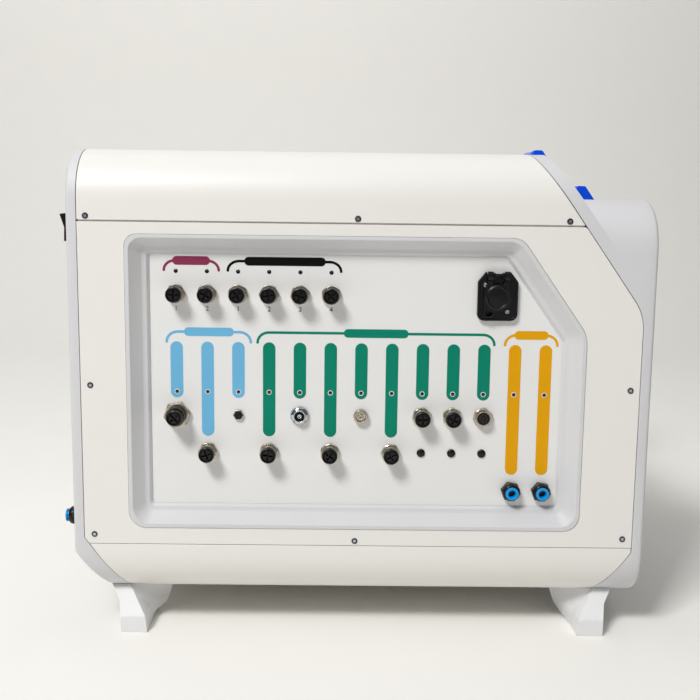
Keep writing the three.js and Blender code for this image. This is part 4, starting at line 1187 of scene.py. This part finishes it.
class AddSensorSockets(Operator):
    """Add the twelve sensor sockets and their screw plugs"""

    bl_idname = "bioreactor.add_sensor_sockets"
    bl_label = "Sensor Sockets"

    def execute(self, context):
        """Copies one socket and one plug to every place, each plug turned its own way."""
        socket, plug = sensor_socket(), screw_plug(seat=8.9)
        plug_step, nut_step = 1.1, 0.3
        for number, name in enumerate(SENSOR_NAMES):
            place = plate_place("socket_" + name)
            turn = Matrix.Rotation(number * plug_step, 4, "Z")
            nut_turn = Matrix.Rotation((number % 3) * nut_step, 4, "Z")
            finished(
                f"sensor_socket_{name}", placed(socket.copy(), place @ nut_turn), SOCKET_LOOKS[:3],
                replaces=["socket_" + name], edge=METAL_EDGE,
            )
            finished(
                f"screw_plug_{name}", placed(plug.copy(), place @ turn), ["black"],
                body="plug_" + name, replaces=["plug_" + name], edge=PLASTIC_EDGE,
            )
        socket.free()
        plug.free()
        return {"FINISHED"}


class AddOtherSockets(Operator):
    """Add the large, multi-pole, coaxial, push-pull and jack sockets"""

    bl_idname = "bioreactor.add_other_sockets"
    bl_label = "Other Sockets"

    def execute(self, context):
        """Builds each socket where its node stands."""
        shapes = {
            "socket_large": (self.large(), "nickel"),
            "socket_open": (self.multi_pole(), "nickel"),
            "coax_socket": (self.coaxial(), "chrome"),
            "round_socket": (self.push_pull(), "nickel"),
            "small_jack": (self.jack(), "nickel"),
        }
        for node, (shape, slot) in shapes.items():
            finished(
                node + "_body", placed(shape, plate_place(node)), SOCKET_LOOKS,
                replaces=[node], edge=METAL_EDGE,
            )
        turn = Matrix.Rotation(0.75, 4, "Z")
        finished(
            "screw_plug_large", placed(screw_plug(seat=12.9), plate_place("plug_large") @ turn),
            ["black"], body="plug_large", replaces=["plug_large"],
            edge=PLASTIC_EDGE,
        )
        return {"FINISHED"}

    def large(self):
        """Large socket: clamping nut, bright washer and blackened barrel."""
        nut = hexagon(19.4, 4.4, turn=0.2)
        washer = turned([(8.1, 4.2), (9.2, 4.2), (9.2, 5.0), (9.0, 5.2), (8.1, 5.2), (8.1, 4.2)])
        outside = [(0, -12), (8, -12), (8, 4), *threaded(8, 4.6, 11.8, pitch=1.2, depth=0.5)]
        bore = [(7.6, 12.6), (5, 12.6), (4.8, 12.4), (4.8, 4), (0, 4)]
        barrel = turned([*outside, *bore])
        return joined(slotted(nut, NICKEL), slotted(washer, NICKEL), slotted(barrel, BRONZE))

    def multi_pole(self):
        """Open socket with eight contacts in a black insert."""
        nut = hexagon(NUT_FLATS, NUT_TOP, turn=0.3, trim=NUT_TRIM)
        barrel = turned([(0, -12), (6, -12), (6, 6.6), (5.7, 7), (5.3, 7), (5.2, 6.8), (5.2, 4), (0, 4)])
        insert = turned([(0, 3.8), (5.1, 3.8), (5.1, 6.0), (4.8, 6.2), (0, 6.2)])
        around = [(0, 0), *((3.0, k * math.tau / 7) for k in range(7))]
        rings = []
        for reach, angle in around:
            ring = turned([(0.42, 6.1), (0.7, 6.1), (0.7, 6.32), (0.42, 6.32), (0.42, 6.1)], steps=12)
            rings.append(slotted(placed(ring, polar(reach, angle)), BRONZE))
        return joined(slotted(nut, NICKEL), slotted(barrel, NICKEL), slotted(insert, DARK), *rings)

    def coaxial(self):
        """Coaxial socket: domed flange, collar and hollow centre contact."""
        flange = [(0, -9), (5, -9), (5, SEAT), (7.4, SEAT), (7.7, 0.6), (7.7, 1.6)]
        dome = [(7.3, 2.6), (6.3, 3.5), (5.2, 3.9), (5, 4.2), (5, 5.8)]
        bore = [(4.8, 6), (4.3, 6), (4.1, 5.8), (4.1, 2.4), (0, 2.4)]
        body = turned([*flange, *dome, *bore])
        insert = turned([(0, 2.2), (4, 2.2), (4, 2.9), (0, 2.9)])
        tip = [(0, 2.8), (2.1, 2.8), (2.1, 4.6), (1.7, 5.2), (1.2, 5.2)]
        contact = turned([*tip, (1.1, 5), (1.1, 3.2), (0, 3.2)])
        return joined(slotted(body, CHROME), slotted(insert, DARK), slotted(contact, CHROME))

    def push_pull(self):
        """Push-pull socket: flanged ring round a centre contact."""
        flange = [(0, -8), (4, -8), (4, SEAT), (5.8, SEAT), (6, 0.5), (6, 3.8)]
        bore = [(5.2, 4.9), (4.3, 5), (4.0, 4.6), (3.9, 2.6), (0, 2.6)]
        body = turned([*flange, *bore])
        tip = [(0, 2.4), (2.2, 2.4), (2.2, 4.2), (1.9, 4.5), (1.1, 4.5)]
        contact = turned([*tip, (0.9, 4.3), (0.9, 2.8), (0, 2.8)])
        return joined(slotted(body, NICKEL), slotted(contact, NICKEL))

    def jack(self):
        """Small jack: hexagonal nut round a black sleeve."""
        nut = hexagon(8, 2.2)
        sleeve = bar(hexagon_corners(3.9), 2, 2.6)
        tip = [(0, -6), (3, -6), (3, 2.4), (2.7, 2.8), (1.4, 2.8)]
        tube = turned([*tip, (1.2, 2.6), (1.2, 0.6), (0, 0.6)])
        return joined(slotted(nut, NICKEL), slotted(sleeve, DARK), slotted(tube, DARK))


# Each port and the ring that slides in it
GAS_PORTS = [
    ("gas_port_1", "release_ring_1"),
    ("gas_port_2", "release_ring_2"),
    ("gas_inlet_port", "gas_inlet_ring"),
]


class AddGasPorts(Operator):
    """Add the push-in gas ports and their blue release rings"""

    bl_idname = "bioreactor.add_gas_ports"
    bl_label = "Gas Ports"

    def execute(self, context):
        """Places a port and its ring at the two outlets and the inlet."""
        for port, ring in GAS_PORTS:
            place = rear_place(ring) if port == "gas_inlet_port" else plate_place(ring)
            nut = hexagon(14.4, 5.2, turn=-0.17)
            outside = [(0, -12), (6, -12), (6, 4), (7.5, 4), (7.5, 5.4), (7.2, 6.4), (6.6, 7.4), (5.9, 8)]
            bore = [(5.1, 8.2), (4.8, 8), (4.8, 1.5), (3.2, 1.5), (3.2, -6), (0, -6)]
            shoulder = turned([*outside, *bore])
            finished(
                port + "_body", placed(joined(nut, shoulder), place), ["black"],
                replaces=[port], edge=PLASTIC_EDGE,
            )
            outside = [(4.3, 2.9), (4.3, 9.5), (5.2, 9.5), (5.35, 9.7), (5.35, 10.4), (5.1, 10.8), (4.6, 11)]
            bore = [(3.7, 11), (3.2, 10.7), (3.0, 10.2), (3.0, 2.9)]
            sleeve = turned([(3.0, 2.9), *outside, *bore])
            finished(
                ring + "_sleeve", placed(sleeve, place), ["ring"], body=ring,
                replaces=[ring],
            )
        return {"FINISHED"}


# Charging socket, in millimetres: outlines of its flange, pocket and flap, from low left
FLANGE = [
    (-16.2, -19.7), (16.2, -19.7), (16.2, 11.7), (10, 19.5), (9.1, 19.5), (9.1, 17.5),
    (-9.1, 17.5), (-9.1, 19.5), (-10, 19.5), (-16.2, 11.7),
]
FLANGE_CORNERS = [5.5, 5.5, 0.7, 0.3, 0, 0, 0, 0, 0.3, 0.7]
POCKET = [(-14.4, -17.9), (14.4, -17.9), (14.4, 10.8), (11.6, 14.2), (-11.6, 14.2), (-14.4, 10.8)]
POCKET_CORNERS = [3.7, 3.7, 0.4, 0.4, 0.4, 0.4]
FLAP = [
    (-11.5, -12), (-11.5, -17.2), (-4.6, -17.2), (-2.2, -12.4), (6.4, -10.6), (10.9, -4.4),
    (10.9, 3), (8.8, 8.8), (8.8, 15), (4.6, 15), (4.6, 9.8), (-4.6, 9.8), (-4.6, 15), (-8.8, 15),
    (-8.8, 11.6), (-11.5, 4),
]
FLAP_CORNERS = [0, 2.4, 1.6, 1.6, 1.4, 1.2, 1.2, 0.5, 0, 0, 0.8, 0.8, 0, 0, 0.3, 0.5]
SLOT = [(-10.2, -10.2), (-9.9, -15.8), (-4.8, -15.8), (-4, -13.2)]
SLOT_CORNERS = [0.6, 2, 1.4, 1.2]
FLANGE_SCREWS = [(7.9, -12.1), (-9.9, 9)]

# The flap's pin: its height on the flange and its distance out, and how it lies
PIN_HEIGHT, PIN_OUT = 17.5, 6.5
PIN_PLACE = Matrix.Translation((0, PIN_HEIGHT * MM, PIN_OUT * MM)) @ Matrix.Rotation(math.pi / 2, 4, "Y")

# Middle of the finger grip on flange and flap
GRIP = Matrix.Translation((-7.3 * MM, -13.3 * MM, 0))


class AddChargingSocket(Operator):
    """Add the charging socket and its hinged flap"""

    bl_idname = "bioreactor.add_charging_socket"
    bl_label = "Charging Socket"

    def execute(self, context):
        """Adds the flange on the plate, and the flap over it."""
        place = plate_place("charging_socket")
        finished(
            "charging_socket_flange", placed(self.flange(), place), ["black", "steel"],
            replaces=["charging_socket"], edge=0.4 * MM, segments=3,
        )
        finished(
            "charging_flap_moulding", placed(self.flap(), place), ["black"],
            body="charging_flap", replaces=["charging_flap"], edge=0.35 * MM, segments=3,
        )
        return {"FINISHED"}

    def flange(self):
        """The flange with its mouth, pocket, lugs and screws."""
        flange = bar(FLANGE, SEAT, 4, FLANGE_CORNERS, steps=6)
        mouth = turned([(0, -8), (9.5, -8), (9.5, 9), (0, 9)])
        pocket = bar(POCKET, 3.2, 9, POCKET_CORNERS, steps=6)
        sleeve = turned([(9.5, 2), (11.5, 2), (11.5, -10), (9.5, -10), (9.5, 2)])
        well = placed(turned([(0, 0.8), (3.4, 0.8), (3.4, 9), (0, 9)], steps=24), GRIP)
        for hollow in (mouth, pocket, well):
            flange = combined(flange, hollow, "DIFFERENCE")
        lugs = [self.knuckle(x - 0.7, x + 0.7, foot=3.5, radius=1.7, heel=0) for x in (-3.6, 3.6)]
        screws = []
        for x, y in FLANGE_SCREWS:
            head = [(0, 2), (1.9, 2), (1.9, 3.9), (1.4, 4.4), (0.8, 4.4), (0.7, 3.8), (0, 3.8)]
            screw = placed(turned(head, steps=20), Matrix.Translation((x * MM, y * MM, 0)))
            screws.append(slotted(screw, 1))
        return joined(flange, sleeve, *lugs, *screws)

    def flap(self):
        """The flap with its dish, grip, arms and pin."""
        plate = bar(FLAP, 4.3, 7, FLAP_CORNERS, steps=4)
        plate = combined(plate, bar(SLOT, 3, 12, SLOT_CORNERS, steps=5), "DIFFERENCE")
        bead = [(9.7, 7.7), (9.2, 8.3), (8.7, 8.5), (8.2, 8.3), (7.8, 7.7)]
        dish = turned([(0, 6), (10.2, 6), (10.2, 7.4), *bead, (4, 7.9), (0, 8)])
        placed(dish, Matrix.Translation((-0.5 * MM, -0.7 * MM, 0)))
        lip = turned([(2.7, 6.5), (3.5, 6.5), (3.5, 7.3), (3.1, 7.7), (2.7, 7.3), (2.7, 6.5)], steps=24)
        cut(lip, Vector(), Vector((-1, 1, 0)))
        bmesh.ops.holes_fill(lip, edges=lip.edges)
        placed(lip, GRIP)
        spans = ((-8.8, -4.6), (4.6, 8.8))
        arms = [self.knuckle(*span, foot=4.3, radius=2.7, heel=2.1) for span in spans]
        half = 9.6
        pin = placed(turned([(0, -half), (1, -half), (1, half), (0, half)], steps=20), PIN_PLACE)
        return joined(plate, dish, lip, *arms, pin)

    def knuckle(self, start, end, foot, radius, heel):
        """Part of the hinge round its pin, with a foot on the flange or flap."""
        ends = rectangle(PIN_HEIGHT - radius - 2, PIN_HEIGHT + radius, foot, PIN_OUT + radius)
        corner = radius - 0.05
        return placed(bar(ends, start, end, [0, heel, corner, corner], steps=6), ALONG_X)


# ---------------------------------------------------------------- rear cap and console


class AddPowerSwitch(Operator):
    """Add the rocker switch of the rear cap"""

    bl_idname = "bioreactor.add_power_switch"
    bl_label = "Power Switch"

    def execute(self, context):
        """Builds the bezel and the rocker in its well."""
        place = rear_place("power_switch_frame")
        bezel = bar(rectangle(-15, 15, -10.5, 10.5), SEAT, 1.9, radii=2, steps=4)
        box = block(Vector((-13.2, -8.7, -16)) * MM, Vector((13.2, 8.7, 1)) * MM)
        well = block(Vector((-11.8, -7.3, -10)) * MM, Vector((11.8, 7.3, 5)) * MM)
        shape = combined(combined(bezel, box, "UNION"), well, "DIFFERENCE")
        finished(
            "power_switch_bezel", placed(shape, place), ["black"],
            replaces=["power_switch_frame"], edge=0.4 * MM, segments=3,
        )
        proud, half, foot, width = 6.3, 11.0, -4, 7
        dip, rest = math.radians(10), math.radians(-8)
        valley = proud - half * math.tan(dip)
        outline = [(-half, foot), (half, foot), (half, proud), (0, valley), (-half, proud)]
        body = bar(outline, -width, width, [1, 1, 0.8, 0, 0.8], steps=4)
        placed(body, STANDING)
        axle = Matrix.Translation((0, 0, 1.5 * MM))
        tilt = axle @ Matrix.Rotation(rest, 4, "Y") @ axle.inverted()
        placed(body, place @ tilt)
        # The face that is pressed is red, and the sides are black
        for face in body.faces:
            if face.normal.x < -0.5:
                face.material_index = 1
        finished(
            "power_rocker_face", body, ["black", "red"], body="power_rocker",
            replaces=["power_rocker"], edge=0.35 * MM, segments=3,
        )
        return {"FINISHED"}


# Each pump's start down the console and its cover's rise out of it, in millimetres
PUMPS = [("upper_pump", -4.5, 0), ("lower_pump", 42, 14)]

# A flip cover, in millimetres: its side view, half its width and the notches for its pin
COVER_SIDE = [(0, SEAT), (44.5, SEAT), (44.5, 9.7), (3.8, 9.7), (0, 4.6)]
COVER_CORNERS = [3.3, 1, 3, 0.9, 0.8]
COVER_HALF = 22
NOTCH = (15.7, 19.9)


class AddPumps(Operator):
    """Add the blue flip covers of the pumps and finish their heads and rotors"""

    bl_idname = "bioreactor.add_pumps"
    bl_label = "Pumps"

    def execute(self, context):
        """Shapes each cover from its side view."""
        for name, start, rise in PUMPS:
            y = middle(name + "_head").y
            place = on_console(start * MM, y, rise * MM)
            side = bar(COVER_SIDE, -COVER_HALF, COVER_HALF, COVER_CORNERS, steps=6)
            placed(side, STANDING)
            notches = []
            for first, last in (NOTCH, (-NOTCH[1], -NOTCH[0])):
                notches.append(block(Vector((-1, first, -1)) * MM, Vector((9.9, last, 11)) * MM))
            cover = combined(side, joined(*notches), "DIFFERENCE")
            half, radius = COVER_HALF - 0.5, 1.2
            pin = turned([(0, -half), (radius, -half), (radius, half), (0, half)], steps=20)
            turn = Matrix.Translation(Vector((3.8, 0, 4.1)) * MM) @ STANDING
            cover = joined(cover, slotted(placed(pin, turn), 1))
            finished(
                name + "_flip_cover", placed(cover, place), ["cover", "steel"],
                body=name + "_cover", replaces=[name + "_cover"], edge=0.5 * MM, segments=3,
            )
            repaint(name + "_head", "black")
            repaint(name + "_rotor", "steel")
        return {"FINISHED"}


# Casing screws, in millimetres: along from the station's middle and up from its feet
PANEL_SCREWS = [(-217.6, 208.8), (217.1, 208.9), (-217.2, 84.8), (-3.9, 80.9), (216.8, 84.6)]
COVER_SCREWS = [(-218.3, 343.6), (-4.4, 343.6), (162.4, 343.6)]


class AddScrews(Operator):
    """Add the screws that hold the covers and panels"""

    bl_idname = "bioreactor.add_screws"
    bl_label = "Screws"

    def execute(self, context):
        """Sets a socket-head screw at each place, on both sides."""
        head = [(0, -0.6), (2.5, -0.6), (2.5, 0.2), (2.3, 0.5), (1.9, 0.6), (0, 0.6)]
        reach, floor, sunk = 1.3, 0.3, 0.5 * MM
        screw = combined(turned(head, steps=32), bar(hexagon_corners(reach), floor, 2), "DIFFERENCE")
        # The hex socket in the dark head takes bright steel: partly the screw's own steel, partly a painted
        # highlight for the glint at the middle of the head
        for face in screw.faces:
            if face.calc_center_median().xy.length < (reach + 0.05) * MM:
                face.material_index = 1
        centre = (REAR + FRONT) / 2
        far_side = Matrix.Translation((0, FAR - sunk, 0)) @ Matrix.Rotation(-math.pi / 2, 4, "X")
        screws = []
        for x, z in PANEL_SCREWS + COVER_SCREWS:
            at = Matrix.Translation((centre + x * MM, 0, z * MM))
            for side in (upright(NEAR), far_side):
                screws.append(placed(screw.copy(), at @ side))
        screw.free()
        finished("casing_screws", joined(*screws), ["screw", "steel"])
        return {"FINISHED"}


# ---------------------------------------------------------------- stage


# The sweep, in metres: half its width, its front and back edges, its height and bend
SWEEP_HALF = 3
SWEEP_FRONT, SWEEP_BACK = -2.5, 2.2
SWEEP_HEIGHT = 3.2
SWEEP_BEND = 0.8

# Each lamp's setting, size, place and target, in metres
STATION_MIDDLE = (0, -0.1, 0.2)
LAMPS = [
    ("key", (0.86, 0.7), (-1.2, -2.07, 2.57), STATION_MIDDLE),
    ("top", (2.4, 1.8), (0, -0.5, 2.3), STATION_MIDDLE),
    ("back", (3, 0.6), (-0.5, 0.9, 2.6), (-0.5, 2.2, 0.9)),
]

# The camera, in metres and radians
CAMERA_PLACE = (-0.01077, -0.98639, 0.34987)
CAMERA_DOWN = 0.142232
CAMERA_ROLL = -0.0123799
CAMERA_ASIDE = 0.0087776


class SetStage(Operator):
    """Set the floor, backdrop, lamps and camera"""

    bl_idname = "bioreactor.set_stage"
    bl_label = "Stage"

    def execute(self, context):
        """Lays a pale sweep, hangs the lamps and aims the camera."""
        stage = context.scene.bioreactor_stage
        self.sweep(stage)
        self.sky(context, stage)
        for name, size, place, target in LAMPS:
            self.lamp(context, name + "_lamp", getattr(stage, name), size, Vector(place), Vector(target))
        self.camera(context, stage)
        context.scene.view_settings.view_transform = "Standard"
        return {"FINISHED"}

    def sweep(self, stage):
        """A floor that curves up into a backdrop."""
        bm = bmesh.new()
        side = ((SWEEP_FRONT, 0), (SWEEP_BACK, 0), (SWEEP_BACK, SWEEP_HEIGHT))
        points = [bm.verts.new((-SWEEP_HALF, y, z)) for y, z in side]
        for pair in zip(points, points[1:]):
            bm.edges.new(pair)
        rounded_corners(bm, [points[1]], SWEEP_BEND, 12)
        grown = bmesh.ops.extrude_edge_only(bm, edges=bm.edges[:])
        moved = [part for part in grown["geom"] if isinstance(part, bmesh.types.BMVert)]
        bmesh.ops.translate(bm, vec=(2 * SWEEP_HALF, 0, 0), verts=moved)
        bmesh.ops.recalc_face_normals(bm, faces=bm.faces)
        mesh = bpy.data.meshes.new("sweep")
        for face in bm.faces:
            face.smooth = True
        bm.to_mesh(mesh)
        bm.free()
        made, shader = material("pale_sweep", Roughness=0.8)
        mottled(made, shader, stage.floor, 4 * MM, 0.01, (0.7, 0.85), 0.01 * MM)
        mesh.materials.append(made)
        sweep = bpy.data.objects.new("sweep", mesh)
        bpy.context.scene.collection.objects.link(sweep)

    def sky(self, context, stage):
        """A dim even light from all round."""
        world = bpy.data.worlds.new("studio")
        world.use_nodes = True
        background = world.node_tree.nodes["Background"]
        background.inputs["Color"].default_value = (1, 1, 1, 1)
        background.inputs["Strength"].default_value = stage.sky
        context.scene.world = world

    def lamp(self, context, name, power, size, place, target):
        """A rectangular lamp aimed at a point."""
        light = bpy.data.lights.new(name, "AREA")
        light.shape = "RECTANGLE"
        light.size, light.size_y = size
        light.energy = power
        holder = bpy.data.objects.new(name, light)
        holder.location = place
        holder.rotation_euler = (target - place).to_track_quat("-Z", "Y").to_euler()
        context.scene.collection.objects.link(holder)

    def camera(self, context, stage):
        """A camera in front of the connector bay, looking slightly down."""
        lens = bpy.data.cameras.new("camera")
        lens.sensor_width = 36
        lens.lens = stage.lens
        lens.clip_start = 0.05
        camera = bpy.data.objects.new("camera", lens)
        aside = Matrix.Rotation(-CAMERA_ASIDE, 4, "Z")
        down = Matrix.Rotation(math.pi / 2 - CAMERA_DOWN, 4, "X")
        roll = Matrix.Rotation(-CAMERA_ROLL, 4, "Z")
        camera.matrix_world = Matrix.Translation(CAMERA_PLACE) @ (aside @ down @ roll)
        context.scene.collection.objects.link(camera)
        context.scene.camera = camera


# ---------------------------------------------------------------- add-on

OPERATORS = (
    AddCovers,
    AddPanels,
    AddEnds,
    AddFeet,
    AddBay,
    AddPrint,
    AddLamps,
    AddSensorSockets,
    AddOtherSockets,
    AddGasPorts,
    AddChargingSocket,
    AddPowerSwitch,
    AddPumps,
    AddScrews,
    SetStage,
)
SETTINGS = {
    "bioreactor_casing": CasingSettings,
    "bioreactor_print": PrintSettings,
    "bioreactor_fittings": FittingSettings,
    "bioreactor_stage": StageSettings,
}


class BioreactorPanel(Panel):
    """Settings and operators of the station"""

    bl_idname = "VIEW3D_PT_bioreactor"
    bl_label = "Bioreactor"
    bl_space_type = "VIEW_3D"
    bl_region_type = "UI"
    bl_category = "Bioreactor"

    def draw(self, context):
        """Lists the settings, then the operators."""
        for name, group in SETTINGS.items():
            box = self.layout.box()
            for setting in group.__annotations__:
                box.prop(getattr(context.scene, name), setting)
        for operator in OPERATORS:
            self.layout.operator(operator.bl_idname)


def register():
    """Registers the classes and puts the settings on the scene."""
    for cls in (*SETTINGS.values(), *OPERATORS, BioreactorPanel):
        bpy.utils.register_class(cls)
    for name, group in SETTINGS.items():
        setattr(bpy.types.Scene, name, PointerProperty(type=group))


def unregister():
    """Takes the settings and classes away again."""
    for name in SETTINGS:
        delattr(bpy.types.Scene, name)
    for cls in reversed((*SETTINGS.values(), *OPERATORS, BioreactorPanel)):
        bpy.utils.unregister_class(cls)


def main():
    """Builds every piece in order."""
    register()
    for operator in OPERATORS:
        group, name = operator.bl_idname.split(".")
        getattr(getattr(bpy.ops, group), name)()


if __name__ == "__main__":
    main()
